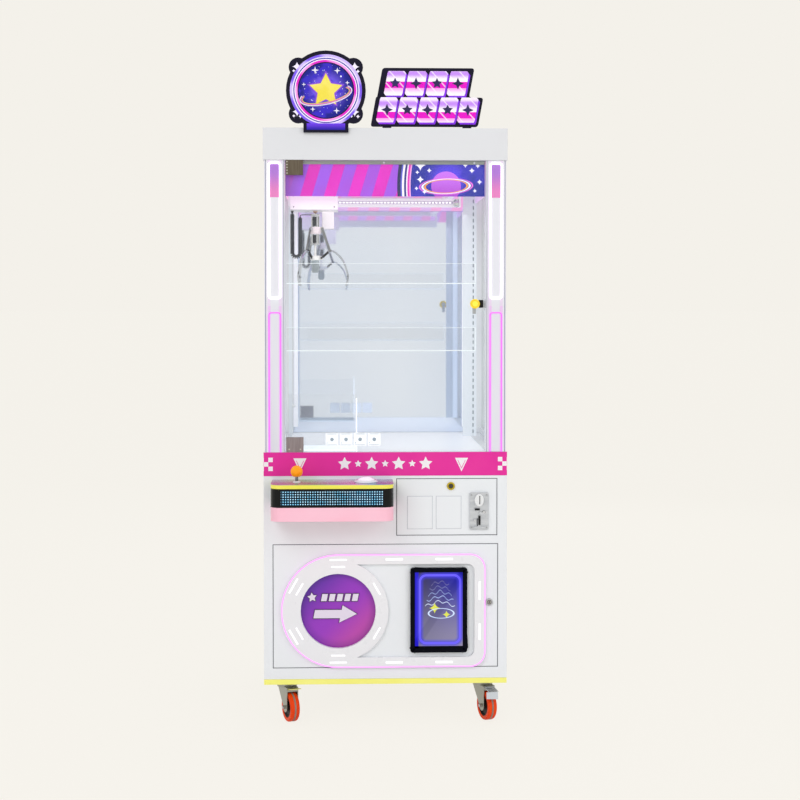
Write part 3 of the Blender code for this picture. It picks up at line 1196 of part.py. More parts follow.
# --- Casters ----------------------------------------------------------------------------------
def caster(name, side, end, yaw):
    """A swivel fork whose wheel trails towards -Y before it is turned by yaw."""
    x, y = caster_place(side, end)
    place = Matrix.Translation((x, y, 0)) @ Matrix.Rotation(math.radians(yaw), 4, "Z")
    table_top = BOARD_UNDER - CASTER_PLATE_THICK - GAP
    crown_top = table_top - TURNTABLE
    half_inside = WHEEL_WIDTH / 2 + WHEEL_SIDE_GAP
    half_outside = half_inside + FORK_LEG
    crown_front = -CASTER_TRAIL - FORK_WIDTH / 2
    outline = [(crown_front, crown_top)]
    outline += arc((-CASTER_TRAIL, WHEEL_RADIUS), FORK_WIDTH / 2, 180, 360)
    outline += [(TURNTABLE_RADIUS, crown_top - CROWN), (TURNTABLE_RADIUS, crown_top)]
    zinc = finish(f"{name} zinc", (168, 168, 160), 0.4, 0.9)
    fork = node(f"caster_fork_{name}", slab(outline, -half_outside, half_outside, "X"), zinc, place)
    wheel_hole = 2 * WHEEL_RADIUS + WHEEL_SIDE_GAP * 2
    cut(fork, box((-half_inside, -2 * CASTER_PLATE, -WHEEL_RADIUS),
                  (half_inside, CASTER_PLATE, wheel_hole)))
    axle = half_outside + AXLE_PAST
    weld(fork, rod((0, 0, crown_top - CROWN / 2), (0, 0, table_top), TURNTABLE_RADIUS, 24),
         rod((-axle, -CASTER_TRAIL, WHEEL_RADIUS), (axle, -CASTER_TRAIL, WHEEL_RADIUS), AXLE_RADIUS, 12))
    wheel_place = (place @ Matrix.Translation((0, -CASTER_TRAIL, WHEEL_RADIUS))
                   @ Matrix.Rotation(math.radians(90), 4, "Y"))
    bore, half = AXLE_RADIUS + BORE_GAP, WHEEL_WIDTH / 2
    corner = TREAD_CORNER
    tread = ((bore, half), (WHEEL_RADIUS - corner, half), (WHEEL_RADIUS - corner / 4, half - corner / 2),
             (WHEEL_RADIUS, half - corner * 1.5), (WHEEL_RADIUS, -half + corner * 1.5),
             (WHEEL_RADIUS - corner / 4, -half + corner / 2), (WHEEL_RADIUS - corner, -half), (bore, -half))
    wheel = turned(f"caster_wheel_{name}", tread, finish(f"{name} tread orange", (240, 72, 10), 0.45),
                   wheel_place, 28, ring=True)
    swivel = hang(f"swivel_{name}", (x, y, table_top), fork)
    hang(f"axle_{name}", place @ Vector((0, -CASTER_TRAIL, WHEEL_RADIUS)), wheel, parent=swivel)
    return place, swivel, crown_front, crown_top


def brake_pedal(name, place, swivel, crown_front, crown_top, tilt):
    """A pedal over the wheel, hinged in front of the fork's crown."""
    pin = Vector((0, crown_front - PEDAL_PIN_RADIUS - GAP, crown_top - CROWN / 2))
    pedal_place = (place @ Matrix.Translation(pin) @ Matrix.Rotation(math.radians(tilt), 4, "X"))
    half = PEDAL_WIDTH / 2
    pedal = node(f"brake_pedal_{name}", rod((-half, 0, 0), (half, 0, 0), PEDAL_PIN_RADIUS, 10),
                 finish(f"{name} pedal zinc", (180, 182, 120), 0.35, 0.8), pedal_place)
    weld(pedal, box((-half, -PEDAL_LENGTH, -PEDAL / 2), (half, 0, PEDAL / 2)))
    hang(f"pedal_pin_{name}", place @ pin, pedal, parent=swivel)


def casters():
    tilts = {"front_left": PEDAL_UP, "front_right": PEDAL_PRESSED}
    for name, side, end, yaw in CASTER_YAWS:
        placed = caster(name, side, end, yaw)
        if name in tilts:
            brake_pedal(name, *placed, tilts[name])


def build():
    base_board()
    lower_cabinet()
    fascia_band()
    prize_deck()
    prize_chute()
    chute_guard()
    control_box()
    side_frame("left_side_frame", -1)
    strike(side_frame("right_side_frame", 1))
    side_glass("left_side_glass", -1)
    side_glass("right_side_glass", 1)
    back_panel()
    header()
    banner_surround()
    badge_sign()
    row_sign()
    glass_door()
    service_door()
    coin_door()
    console()
    joystick()
    drop_button()
    crane()
    casters()


for old in list(bpy.data.objects):
    bpy.data.objects.remove(old, do_unlink=True)
PARTS = new_collection("claw_crane_machine")
CUTTERS = new_collection("cutters")
CUTTERS.hide_render = True
build()
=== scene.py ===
"""A claw crane prize machine: the finish of every surface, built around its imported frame.

Metres, +Z up, the machine's front towards -Y. Places follow the frame's nodes, or are plain
coordinates where only the finish needs them. main(), at the end, puts the camera, the cords and
the stage before the pieces.
"""
import json
import math

import bmesh
import bpy
from mathutils import Matrix, Vector


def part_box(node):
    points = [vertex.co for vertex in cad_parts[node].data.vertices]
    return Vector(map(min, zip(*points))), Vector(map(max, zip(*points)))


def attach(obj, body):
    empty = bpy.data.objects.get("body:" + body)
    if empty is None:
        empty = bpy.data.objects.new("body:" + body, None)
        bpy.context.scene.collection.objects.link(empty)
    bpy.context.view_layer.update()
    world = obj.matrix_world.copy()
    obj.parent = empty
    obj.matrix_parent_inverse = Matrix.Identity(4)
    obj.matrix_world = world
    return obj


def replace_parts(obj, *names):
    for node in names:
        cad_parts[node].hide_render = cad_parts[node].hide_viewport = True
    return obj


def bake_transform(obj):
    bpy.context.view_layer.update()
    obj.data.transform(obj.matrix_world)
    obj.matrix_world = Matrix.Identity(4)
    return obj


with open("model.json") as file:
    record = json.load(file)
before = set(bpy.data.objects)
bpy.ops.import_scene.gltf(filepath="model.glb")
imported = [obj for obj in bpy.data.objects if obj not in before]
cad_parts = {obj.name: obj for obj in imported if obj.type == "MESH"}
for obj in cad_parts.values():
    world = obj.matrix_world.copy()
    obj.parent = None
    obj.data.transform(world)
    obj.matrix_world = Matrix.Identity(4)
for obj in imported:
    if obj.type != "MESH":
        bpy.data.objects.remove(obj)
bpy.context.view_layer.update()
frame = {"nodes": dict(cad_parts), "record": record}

NODES = frame["nodes"]
BODY_OF = {node: body for body, members in frame["record"]["behaviour"]["bodies"].items()
           for node in members}

CREAM = "#F4F1EA"
WHITE_COAT = "#EDF0F4"
MAGENTA = "#E62A9C"
CANARY = "#FBF36A"
CLAW = (-0.238, -0.200)  # the claw's axis, as x and y
PRONG_TURNS = (0, 120, 240)
NEON_X = 0.3715  # the middle of a front post
NEON_WIDTH = 0.0385
BADGE_RADIUS = 0.133


# --- Camera -----------------------------------------------------------------------------------
def place_camera():
    """A short telephoto a little left of the machine's middle, nearly level."""
    lens = bpy.data.cameras.new("camera")
    lens.lens = 69.715
    lens.shift_y = -0.060
    camera = bpy.data.objects.new("camera", lens)
    camera.location = (-0.1368, -5.55, 1.41)
    camera.rotation_euler = (math.radians(90 - 1.683), 0, math.radians(-2.04))
    bpy.context.scene.collection.objects.link(camera)
    bpy.context.scene.camera = camera


# --- Workshop ---------------------------------------------------------------------------------
def linear(code):
    """A colour written as #RRGGBB, as linear light with full alpha."""
    shades = [int(code[i:i + 2], 16) / 255 for i in (1, 3, 5)]
    return tuple(s / 12.92 if s <= 0.04045 else ((s + 0.055) / 1.055) ** 2.4 for s in shades) + (1.0,)


class Finish:
    """A procedural finish, read in metres on the piece's own coordinates."""

    def __init__(self, name, colour, roughness=0.5, metallic=0.0, **sockets):
        self.material = bpy.data.materials.new(name)
        self.material.use_nodes = True
        self.tree = self.material.node_tree
        self.shader = self.tree.nodes["Principled BSDF"]
        self.place = self.node("ShaderNodeTexCoord").outputs["Object"]
        split = self.node("ShaderNodeSeparateXYZ")
        self.join(self.place, split.inputs[0])
        self.x, self.y, self.z = split.outputs
        self.set("Base Color", linear(colour))
        self.set("Roughness", roughness)
        self.set("Metallic", metallic)
        for socket, value in sockets.items():
            self.set(socket.replace("_", " "), value)

    def node(self, kind, **settings):
        made = self.tree.nodes.new(kind)
        for key, value in settings.items():
            setattr(made, key, value)
        return made

    def join(self, value, socket):
        """Feeds a socket from another socket, a colour code or a number."""
        if isinstance(value, bpy.types.NodeSocket):
            self.tree.links.new(value, socket)
        else:
            socket.default_value = linear(value) if isinstance(value, str) else value

    def set(self, socket, value):
        self.join(value, self.shader.inputs[socket])
        return self

    def over(self, *coats):
        """Lays more colours over the ones that the finish has."""
        ground = self.shader.inputs["Base Color"].links[0].from_socket
        return self.set("Base Color", self.layers(ground, *coats))

    # numbers
    def calc(self, operation, a, b=0.0, c=0.0):
        made = self.node("ShaderNodeMath", operation=operation)
        for value, socket in zip((a, b, c), made.inputs):
            self.join(value, socket)
        return made.outputs[0]

    def add(self, a, b):
        return self.calc("ADD", a, b)

    def less(self, a, b):
        return self.calc("SUBTRACT", a, b)

    def times(self, *values):
        result = values[0]
        for value in values[1:]:
            result = self.calc("MULTIPLY", result, value)
        return result

    def scaled(self, value, factor, plus):
        return self.calc("MULTIPLY_ADD", value, factor, plus)

    def size(self, value):
        return self.calc("ABSOLUTE", value)

    def off(self, value, centre):
        """The distance of a coordinate from a value."""
        return self.size(self.less(value, centre))

    def length(self, a, b):
        return self.calc("SQRT", self.add(self.times(a, a), self.times(b, b)))

    def radius(self, a, b, centre_a, centre_b):
        """The distance from an axis, in the plane of two coordinates."""
        return self.length(self.less(a, centre_a), self.less(b, centre_b))

    def saw(self, value, pitch, start=0.0):
        """How far through its step of the pitch a coordinate is, from 0 to 1."""
        return self.calc("FRACT", self.calc("DIVIDE", self.less(value, start), pitch))

    def ranged(self, value, start=0.0, end=1.0, low=0.0, high=1.0, kind="LINEAR"):
        """A value carried from one range into another."""
        made = self.node("ShaderNodeMapRange", interpolation_type=kind)
        sockets = ("Value", "From Min", "From Max", "To Min", "To Max")
        for name, number in zip(sockets, (value, start, end, low, high)):
            self.join(number, made.inputs[name])
        return made.outputs["Result"]

    def noise(self, scale, detail=2.0, stretch=(1, 1, 1)):
        place = self.node("ShaderNodeMapping", vector_type="POINT")
        self.join(self.place, place.inputs["Vector"])
        place.inputs["Scale"].default_value = stretch
        made = self.node("ShaderNodeTexNoise")
        for name, value in (("Vector", place.outputs[0]), ("Scale", scale), ("Detail", detail)):
            self.join(value, made.inputs[name])
        return made.outputs["Fac"]

    # masks, 1 inside and 0 outside
    def above(self, value, edge):
        return self.calc("GREATER_THAN", value, edge)

    def below(self, value, edge):
        return self.calc("LESS_THAN", value, edge)

    def between(self, value, low, high):
        return self.times(self.above(value, low), self.below(value, high))

    def either(self, *masks):
        result = masks[0]
        for mask in masks[1:]:
            result = self.calc("MAXIMUM", result, mask)
        return result

    def outside(self, mask):
        return self.less(1.0, mask)

    def fade(self, value, start, end):
        """0 at start, 1 at end, smooth between them."""
        return self.ranged(value, start, end, kind="SMOOTHSTEP")

    def spark(self, x, z, size, hollow=0.6):
        """A star with four points and hollow sides, facing the front."""
        reach = self.add(*(self.calc("POWER", self.off(axis, at), hollow)
                           for axis, at in ((self.x, x), (self.z, z))))
        return self.below(reach, size ** hollow)

    # colours
    def mix(self, mask, a, b):
        made = self.node("ShaderNodeMix", data_type="RGBA")
        for value, socket in ((mask, 0), (a, 6), (b, 7)):
            self.join(value, made.inputs[socket])
        return made.outputs[2]

    def layers(self, ground, *coats):
        """Colours laid one over another, each a (mask, colour) pair."""
        for mask, colour in coats:
            ground = self.mix(mask, ground, colour)
        return ground

    def blotch(self, colour, other, scale=6.0, detail=3.0, stretch=(1, 1, 1)):
        return self.mix(self.fade(self.noise(scale, detail, stretch), 0.35, 0.65), colour, other)

    def vary(self, socket, low, high, scale, detail=3.0, stretch=(1, 1, 1)):
        return self.set(socket, self.ranged(self.noise(scale, detail, stretch), low=low, high=high))

    def bump(self, height, distance=0.0002, strength=1.0):
        made = self.node("ShaderNodeBump")
        for name, value in (("Height", height), ("Distance", distance), ("Strength", strength)):
            self.join(value, made.inputs[name])
        return self.set("Normal", made.outputs[0])

    def glow(self, colour, strength=1.0, where=None):
        """Gives off a colour, all over or only where a mask is."""
        self.set("Emission Color", colour if where is None else self.mix(where, "#000000", colour))
        return self.set("Emission Strength", strength)


def into(name, bm, look, body, bevel=0.0, segments=2, smooth=False, turn=True):
    """Makes a shape a piece of the machine on its body, with its edges eased."""
    if turn:
        bmesh.ops.recalc_face_normals(bm, faces=bm.faces)
    mesh = bpy.data.meshes.new(name)
    bm.to_mesh(mesh)
    bm.free()
    mesh.materials.append(look.material)
    piece = bpy.data.objects.new(name, mesh)
    bpy.context.scene.collection.objects.link(piece)
    if smooth:
        mesh.shade_smooth()
        mesh.set_sharp_from_angle(angle=math.radians(38))
    if bevel:
        eased = piece.modifiers.new("eased edges", "BEVEL")
        eased.width = bevel
        eased.segments = segments
        eased.limit_method = "ANGLE"
        eased.angle_limit = math.radians(40)
    if body:
        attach(piece, body)
    return piece


def block(bm, low, high):
    """A box between two corners."""
    low, high = Vector(low), Vector(high)
    size = Matrix.Diagonal((*(high - low), 1))
    return bmesh.ops.create_cube(bm, size=1, matrix=Matrix.Translation((low + high) / 2) @ size)["verts"]


def rod(bm, start, end, radius, sides=16):
    """A round bar from one point to another."""
    start, end = Vector(start), Vector(end)
    along = end - start
    place = Matrix.Translation((start + end) / 2) @ along.to_track_quat("Z", "Y").to_matrix().to_4x4()
    bmesh.ops.create_cone(bm, cap_ends=True, segments=sides, radius1=radius, radius2=radius,
                          depth=along.length, matrix=place)


def turned(bm, profile, centre=(0, 0, 0), axis="Z", sides=32):
    """A turned shape from (radius, height) points, closed on the axis or as a ring."""
    before = set(bm.verts)
    verts = [bm.verts.new((r, 0, h)) for r, h in profile]
    edges = [bm.edges.new(pair) for pair in zip(verts, verts[1:])]
    bmesh.ops.spin(bm, geom=verts + edges, cent=(0, 0, 0), axis=(0, 0, 1),
                   angle=math.tau, steps=sides, use_merge=True)
    bmesh.ops.remove_doubles(bm, verts=[v for v in bm.verts if v not in before], dist=1e-6)
    along = Vector({"Y": (0, 1, 0), "-Y": (0, -1, 0), "Z": (0, 0, 1)}[axis])
    place = Matrix.Translation(centre) @ along.to_track_quat("Z", "Y").to_matrix().to_4x4()
    made = [v for v in bm.verts if v not in before]
    bmesh.ops.transform(bm, matrix=place, verts=made)
    return made


def plate(bm, outline, low, high):
    """A flat plate facing the front: an (x, z) outline, pushed from y = high to y = low."""
    face = bm.faces.new([bm.verts.new((x, high, z)) for x, z in outline])
    pushed = bmesh.ops.extrude_face_region(bm, geom=[face])["geom"]
    moved = [v for v in pushed if isinstance(v, bmesh.types.BMVert)]
    bmesh.ops.translate(bm, vec=(0, low - high, 0), verts=moved)


def blocks(name, corners, look, body, **ease):
    """A piece of boxes, each between two corners."""
    bm = bmesh.new()
    for low, high in corners:
        block(bm, low, high)
    return into(name, bm, look, body, **ease)


def plates(name, outlines, low, high, look, body, **ease):
    """A piece of flat plates that face the front."""
    bm = bmesh.new()
    for outline in outlines:
        plate(bm, outline, low, high)
    return into(name, bm, look, body, **ease)


def lathe(name, profile, centre, look, body, sides=32, **ease):
    """A piece turned about an upright axis."""
    bm = bmesh.new()
    turned(bm, profile, centre, "Z", sides)
    return into(name, bm, look, body, smooth=True, **ease)


def rods(name, bars, look, body, sides=16, **ease):
    """A piece of round bars, each as (start, end, radius)."""
    bm = bmesh.new()
    for start, end, radius in bars:
        rod(bm, start, end, radius, sides)
    return into(name, bm, look, body, **ease)


def arc(centre, radius, start, end, steps):
    """Points along an arc, in degrees."""
    angles = [math.radians(start + (end - start) * i / steps) for i in range(steps + 1)]
    return [(centre[0] + radius * math.cos(a), centre[1] + radius * math.sin(a)) for a in angles]


def rounded(x0, z0, x1, z1, radius, steps=6):
    """A rectangle with round corners, anticlockwise from its lower right corner."""
    corners = ((x1 - radius, z0 + radius), (x1 - radius, z1 - radius),
               (x0 + radius, z1 - radius), (x0 + radius, z0 + radius))
    return [point for i, corner in enumerate(corners)
            for point in arc(corner, radius, 90 * i - 90, 90 * i, steps)]


def oblong(x0, z0, x1, z1):
    """A plain rectangle's outline."""
    return [(x0, z0), (x1, z0), (x1, z1), (x0, z1)]


def star(centre, size, points=5, inner=0.45, turn=90.0):
    """A plain star's outline."""
    radii = (size, size * inner)
    angles = [math.radians(turn + 180 * i / points) for i in range(points * 2)]
    return [(centre[0] + radii[i % 2] * math.cos(a), centre[1] + radii[i % 2] * math.sin(a))
            for i, a in enumerate(angles)]


def tube(name, route, radius, look, body, closed=False):
    """A round tube along a route, as a mesh."""
    curve = bpy.data.curves.new(name, "CURVE")
    curve.dimensions = "3D"
    curve.bevel_depth = radius
    curve.bevel_resolution = 2
    curve.use_fill_caps = not closed
    line = curve.splines.new("POLY")
    line.points.add(len(route) - 1)
    for point, place in zip(line.points, route):
        point.co = (*place, 1)
    line.use_cyclic_u = closed
    bent = bpy.data.objects.new(name + " route", curve)
    mesh = bpy.data.meshes.new_from_object(bent)
    bpy.data.objects.remove(bent)
    bm = bmesh.new()
    bm.from_mesh(mesh)
    bpy.data.meshes.remove(mesh)
    bmesh.ops.remove_doubles(bm, verts=bm.verts, dist=1e-6)
    return into(name, bm, look, body, smooth=True)


def dressed(node, look, bevel=0.001, segments=2):
    """The node's shape with its facets joined and its edges eased, standing for the node."""
    bm = bmesh.new()
    bm.from_mesh(NODES[node].data)
    bmesh.ops.remove_doubles(bm, verts=bm.verts, dist=1e-5)
    bmesh.ops.dissolve_limit(bm, angle_limit=math.radians(0.5), verts=bm.verts, edges=bm.edges)
    piece = into(node + "_finished", bm, look, BODY_OF[node], bevel, segments, turn=False)
    return stands_for(piece, node)


def stands_for(piece, node):
    """Takes a node's place in the pictures."""
    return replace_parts(piece, node)


def coated(look, *nodes):
    """Gives CAD nodes a finish as they are."""
    for node in nodes:
        for material_slot in NODES[node].material_slots:
            material_slot.material = look.material


def middle_of(node):
    low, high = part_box(node)
    return (low + high) / 2


# --- Cords ------------------------------------------------------------------------------------
CORD_WIDTH = 0.003
COIL_RADIUS = 0.006
COIL_PITCH = 0.0036
BEND_PITCH = 0.0056
LEAD_BEND = 0.0065
LEAD_END = 0.020  # from the claw's axis to the lead's end in the head
TURN_POINTS = 14
HOIST_OVERLAP = 0.002  # the hoist line's end inside the piece it enters
HOIST_STEPS = 12


def curly_route():
    """Down from the carriage, round the bottom of the U, up, and over to the claw's head."""
    low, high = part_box("curly_cord")
    outer, y = (high.y - low.y) / 2, (high.y + low.y) / 2
    left, right = low.x + outer, high.x - outer
    bend = (right - left) / 2
    bend_z = low.z + outer + bend
    lead_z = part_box("claw_head")[1].z - CORD_WIDTH
    coil_top, coil_end = high.z - 2 * CORD_WIDTH, lead_z - LEAD_BEND
    down, around_bend, up = coil_top - bend_z, math.pi * bend, coil_end - bend_z
    total = down + around_bend + up
    route = [Vector((left, y, high.z)), Vector((left, y, high.z - CORD_WIDTH))]
    walked, phase = 0.0, 0.0
    while walked < total:
        turn = math.pi * (1 + min(max((walked - down) / around_bend, 0), 1))
        outward = Vector((math.cos(turn), 0, math.sin(turn)))
        place = Vector((left + bend, y, bend_z)) + bend * outward
        place.z += max(down - walked, 0) + max(walked - down - around_bend, 0)
        eased = min(min(walked, total - walked) / (2 * CORD_WIDTH), 1)
        side = math.cos(phase) * -outward + math.sin(phase) * Vector((0, 1, 0))
        route.append(place + COIL_RADIUS * eased * side)
        pitch = BEND_PITCH if down < walked < down + around_bend else COIL_PITCH
        walked += pitch / TURN_POINTS
        phase += math.tau / TURN_POINTS
    for x, z in arc((right + LEAD_BEND, coil_end), LEAD_BEND, 180, 90, 6):
        route.append(Vector((x, y, z)))
    route.append(Vector((middle_of("claw_head").x - LEAD_END, y, lead_z)))
    return route


def make_cords():
    route = curly_route()
    look = Finish("cord slate", "#454A56", 0.42)
    look.vary("Roughness", 0.35, 0.5, 400)
    look.set("Base Color", look.blotch("#30343E", "#3A3E49", 60))
    curly = tube("curly_lead", route, CORD_WIDTH / 2, look, None)
    low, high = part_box("curly_cord")
    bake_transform(curly)
    stands_for(curly, "curly_cord")

    low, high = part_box("hoist_cord")
    x, y = (low.x + high.x) / 2, (low.y + high.y) / 2
    drawn = high.z - low.z + 2 * HOIST_OVERLAP
    rings = [(x, y, low.z - HOIST_OVERLAP + drawn * i / HOIST_STEPS) for i in range(HOIST_STEPS + 1)]
    look = Finish("hoist line", "#D9C9BE", 0.6)
    look.bump(look.noise(1200, 2, (1, 1, 0.3)), 0.0002)
    line = tube("hoist_line", rings, (high.x - low.x) / 2, look, None)
    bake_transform(line)
    stands_for(line, "hoist_cord")


# --- Stage ------------------------------------------------------------------------------------
def seen_plain(tree):
    """1 for what the camera sees, straight on, in glass and in metal."""
    path = tree.nodes.new("ShaderNodeLightPath")
    total = path.outputs["Is Camera Ray"]
    for name in ("Is Glossy Ray", "Is Transmission Ray"):
        step = tree.nodes.new("ShaderNodeMath")
        step.operation = "MAXIMUM"
        tree.links.new(total, step.inputs[0])
        tree.links.new(path.outputs[name], step.inputs[1])
        total = step.outputs[0]
    return total


def make_stage():
    """A cream room without walls, soft boxes round the machine and two lamps in the chamber."""
    world = bpy.data.worlds.new("studio")
    bpy.context.scene.world = world
    world.use_nodes = True
    tree = world.node_tree
    light = tree.nodes["Background"]
    light.inputs["Color"].default_value = (0.98, 0.99, 1.0, 1)
    light.inputs["Strength"].default_value = 0.62
    seen = tree.nodes.new("ShaderNodeBackground")
    seen.inputs["Color"].default_value = linear(CREAM)
    blend = tree.nodes.new("ShaderNodeMixShader")
    for socket, source in enumerate((seen_plain(tree), light.outputs[0], seen.outputs[0])):
        tree.links.new(source, blend.inputs[socket])
    tree.links.new(blend.outputs[0], tree.nodes["World Output"].inputs["Surface"])

    paper = Finish("studio floor", CREAM, 0.9)
    glow = paper.node("ShaderNodeEmission")
    paper.join(CREAM, glow.inputs["Color"])
    paper.join(1.03, glow.inputs["Strength"])
    both = paper.node("ShaderNodeMixShader")
    share = paper.times(seen_plain(paper.tree), 0.93)
    for socket, source in enumerate((share, paper.shader.outputs[0], glow.outputs[0])):
        paper.join(source, both.inputs[socket])
    paper.join(both.outputs[0], paper.tree.nodes["Material Output"].inputs["Surface"])
    bm = bmesh.new()
    bmesh.ops.create_grid(bm, x_segments=2, y_segments=2, size=400)
    floor = into("studio_floor", bm, paper, None, turn=False)

    lamp("key", (-2.6, -5.4, 4.2), 3.2, 108)
    lamp("fill", (3.4, -4.2, 2.6), 3.0, 46)
    lamp("top", (0.4, 0.6, 5.5), 2.6, 36)
    lamp("back", (1.5, 5.0, 3.0), 3.0, 40)
    lamp("chamber top", (0.0, 0.06, 1.740), 0.60, 0.9, (0.0, 0.07, 0.92))
    lamp("chamber front", (0.0, -0.312, 1.40), 0.60, 0.35, (0.0, 0.45, 1.50))
    bpy.context.scene.view_settings.view_transform = "Standard"


def lamp(name, place, size, power, aim=(0, 0, 1.1)):
    """A square soft box that faces the machine's middle, or another point."""
    light = bpy.data.lights.new(name, "AREA")
    light.size = size
    light.energy = power
    hung = bpy.data.objects.new(name, light)
    hung.location = place
    hung.rotation_euler = (Vector(aim) - Vector(place)).to_track_quat("-Z", "Y").to_euler()
    hung.visible_camera = hung.visible_glossy = hung.visible_transmission = False
    bpy.context.scene.collection.objects.link(hung)


# --- Finishes ---------------------------------------------------------------------------------
def coat(name, colour, roughness=0.36):
    """Powder coat: a faint orange peel, and a colour that drifts a little over the sheet."""
    look = Finish(name, colour, roughness)
    tone = look.node("ShaderNodeHueSaturation")
    look.join(colour, tone.inputs["Color"])
    look.join(look.ranged(look.noise(3.5, 3), low=0.97, high=1.03), tone.inputs["Value"])
    look.set("Base Color", tone.outputs[0])
    look.vary("Roughness", roughness - 0.05, roughness + 0.07, 30)
    return look.bump(look.noise(850, 2), 0.00005, 0.6)


def cabinet_look():
    """The cabinet's coat, with the seam and the vent slots of its rear service panel, the slots in near black
    as painted shade.
    """
    look = coat("cabinet sheet", WHITE_COAT)
    low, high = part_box("lower_cabinet")
    panel_half, margin, seam_half = 0.280, 0.100, 0.0011
    vent_low, vent_high, vent_pitch, vent_share = low.z + 0.160, low.z + 0.288, 0.0160, 0.34
    across, up = look.off(look.x, 0.0), look.off(look.z, (low.z + high.z) / 2)
    edge = look.either(look.less(across, panel_half), look.less(up, (high.z - low.z) / 2 - margin))
    seam = look.below(look.size(edge), seam_half)
    # The vent slots are painted near black: painted shade for the dark inside of the openings.
    slots = look.times(look.between(look.saw(look.z, vent_pitch, vent_low), 0.0, vent_share),
                       look.below(look.off(across, 0.065), 0.050),
                       look.between(look.z, vent_low, vent_high))
    rear = look.above(look.y, high.y - 0.0004)
    return look.over((look.times(rear, seam), "#7C7F87"), (look.times(rear, slots), "#1B1C20"))


def brushed(name, colour, roughness=0.3, along=(1, 40, 1), other=None):
    """Bare metal with a fine grain drawn along one way."""
    look = Finish(name, colour, roughness, 1.0)
    look.set("Base Color", look.blotch(colour, other or colour, 18, 2, along))
    look.vary("Roughness", roughness - 0.08, roughness + 0.10, 90, 3, along)
    return look.bump(look.noise(500, 2, along), 0.00003, 0.5)


def chrome(name="chrome", colour="#D6D8DC", roughness=0.10):
    look = Finish(name, colour, roughness, 1.0)
    return look.vary("Roughness", roughness - 0.04, roughness + 0.08, 60)


def moulded(name, colour, roughness=0.4, other=None, **sockets):
    """Moulded plastic, with a fine grain."""
    look = Finish(name, colour, roughness, **sockets)
    look.set("Base Color", look.blotch(colour, other or colour, 14))
    look.vary("Roughness", roughness - 0.06, roughness + 0.08, 45)
    return look.bump(look.noise(1400, 2), 0.00003, 0.5)


def lit(name, colour, strength=1.0, body="#FFFFFF"):
    """A lit tube or lens, or an edge that glows as a painted highlight."""
    look = Finish(name, body, 0.35)
    tint = look.mix(look.fade(look.noise(25, 2), 0.2, 0.9), colour, body)
    return look.glow(look.mix(0.25, colour, tint), strength)


def clear(name, tint="#EAF4F4", low=0.02, high=0.45, roughness=0.03):
    """Clear sheet: it thickens to the eye where it is seen edge on, and its dust catches light."""
    look = Finish(name, tint, roughness)
    edge = look.node("ShaderNodeFresnel")
    edge.inputs["IOR"].default_value = 1.35
    dust = look.times(look.fade(look.noise(9, 4), 0.45, 0.75), 0.006)
    return look.set("Alpha", look.add(look.scaled(edge.outputs[0], high, low), dust))


def triangle(look, centre, top, bottom, half):
    """A plain triangle that points down, with its own outline left out a little further in."""
    side = look.times(look.less(look.z, bottom), half / (top - bottom))
    off = look.off(look.x, centre)
    whole = look.times(look.below(off, side), look.below(look.z, top))
    line = look.times(look.between(look.less(side, off), 0.0045, 0.0065), look.below(look.z, top - 0.008))
    return look.times(whole, look.outside(line))


def band_look():
    """Magenta film, with white checks at the ends and a plain triangle near each."""
    look = Finish("band magenta", MAGENTA, 0.3, Specular_IOR_Level=0.3)
    low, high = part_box("fascia_band")
    square, first, middle = 0.0150, 0.3790, (low.z + high.z) / 2
    out = look.size(look.x)
    column = look.calc("FLOOR", look.calc("DIVIDE", look.less(out, first), square))
    row = look.calc("FLOOR", look.calc("DIVIDE", look.less(look.z, middle - 1.5 * square), square))
    even = look.below(look.calc("PINGPONG", look.add(column, row), 1.0), 0.5)
    rows = look.between(look.z, middle - 1.5 * square, middle + 1.5 * square)
    checks = look.times(even, rows, look.above(out, first))
    marks = [triangle(look, x, middle + 0.020, middle - 0.026, 0.022) for x in (-0.288, 0.256)]
    front = look.below(look.y, low.y + 0.0010)
    wrapped = look.either(front, look.above(out, 0.4090), look.above(look.y, 0.4990))
    ink = look.times(front, look.either(checks, *marks))
    film = look.mix(ink, look.blotch(MAGENTA, "#EA349F", 5), "#F6F2F6")
    look.set("Base Color", look.mix(wrapped, look.blotch("#F1F4F6", "#EAEEF1", 6), film))
    return look.bump(look.noise(500, 2), 0.00004, 0.4)


def post_look():
    """Milky light covers, with lines up their edges, a painted glow beside the neon tubes and, at the top,
    the banner painted on as if glowing through.
    """
    look = Finish("post diffuser", "#F1EEF5", 0.22)
    out = look.size(look.x)
    face = look.below(look.y, -0.3440)
    inside = look.between(out, 0.3555, 0.3875)
    near_tube = look.off(look.off(out, NEON_X), 0.0185)
    # A pink halo beside each neon tube, stronger by the lower loop: painted light.
    painted_neon_halo = look.outside(look.fade(near_tube, 0.002, 0.007))
    lower_loop = look.below(look.z, 1.412)
    # Magenta to violet at the top of the inner cover: painted light, the banner as if glowing through.
    patch = look.times(inside, look.between(look.z, 1.775, 1.893))
    channel = look.mix(look.fade(look.noise(5, 2, (1, 1, 0.2)), 0.4, 0.6), "#DEDEE8", "#E6E6EE")
    colour = look.layers(
        look.blotch("#E3E0EB", "#EAE8F0", 4),
        (inside, channel),
        (look.times(painted_neon_halo, look.scaled(lower_loop, 0.40, 0.25)), "#F3B4F6"),
        (patch, look.mix(look.fade(look.z, 1.785, 1.865), "#E884C4", "#B07AD6")),
        (look.between(out, 0.4005, 0.4030), "#7E87A0"),
        (look.between(out, 0.3400, 0.3425), "#959CAC"),
        (look.between(out, 0.3455, 0.3470), "#CDBBDE"))
    return look.set("Base Color", look.mix(face, look.blotch("#E4E7EC", "#ECEEF2", 4), colour))


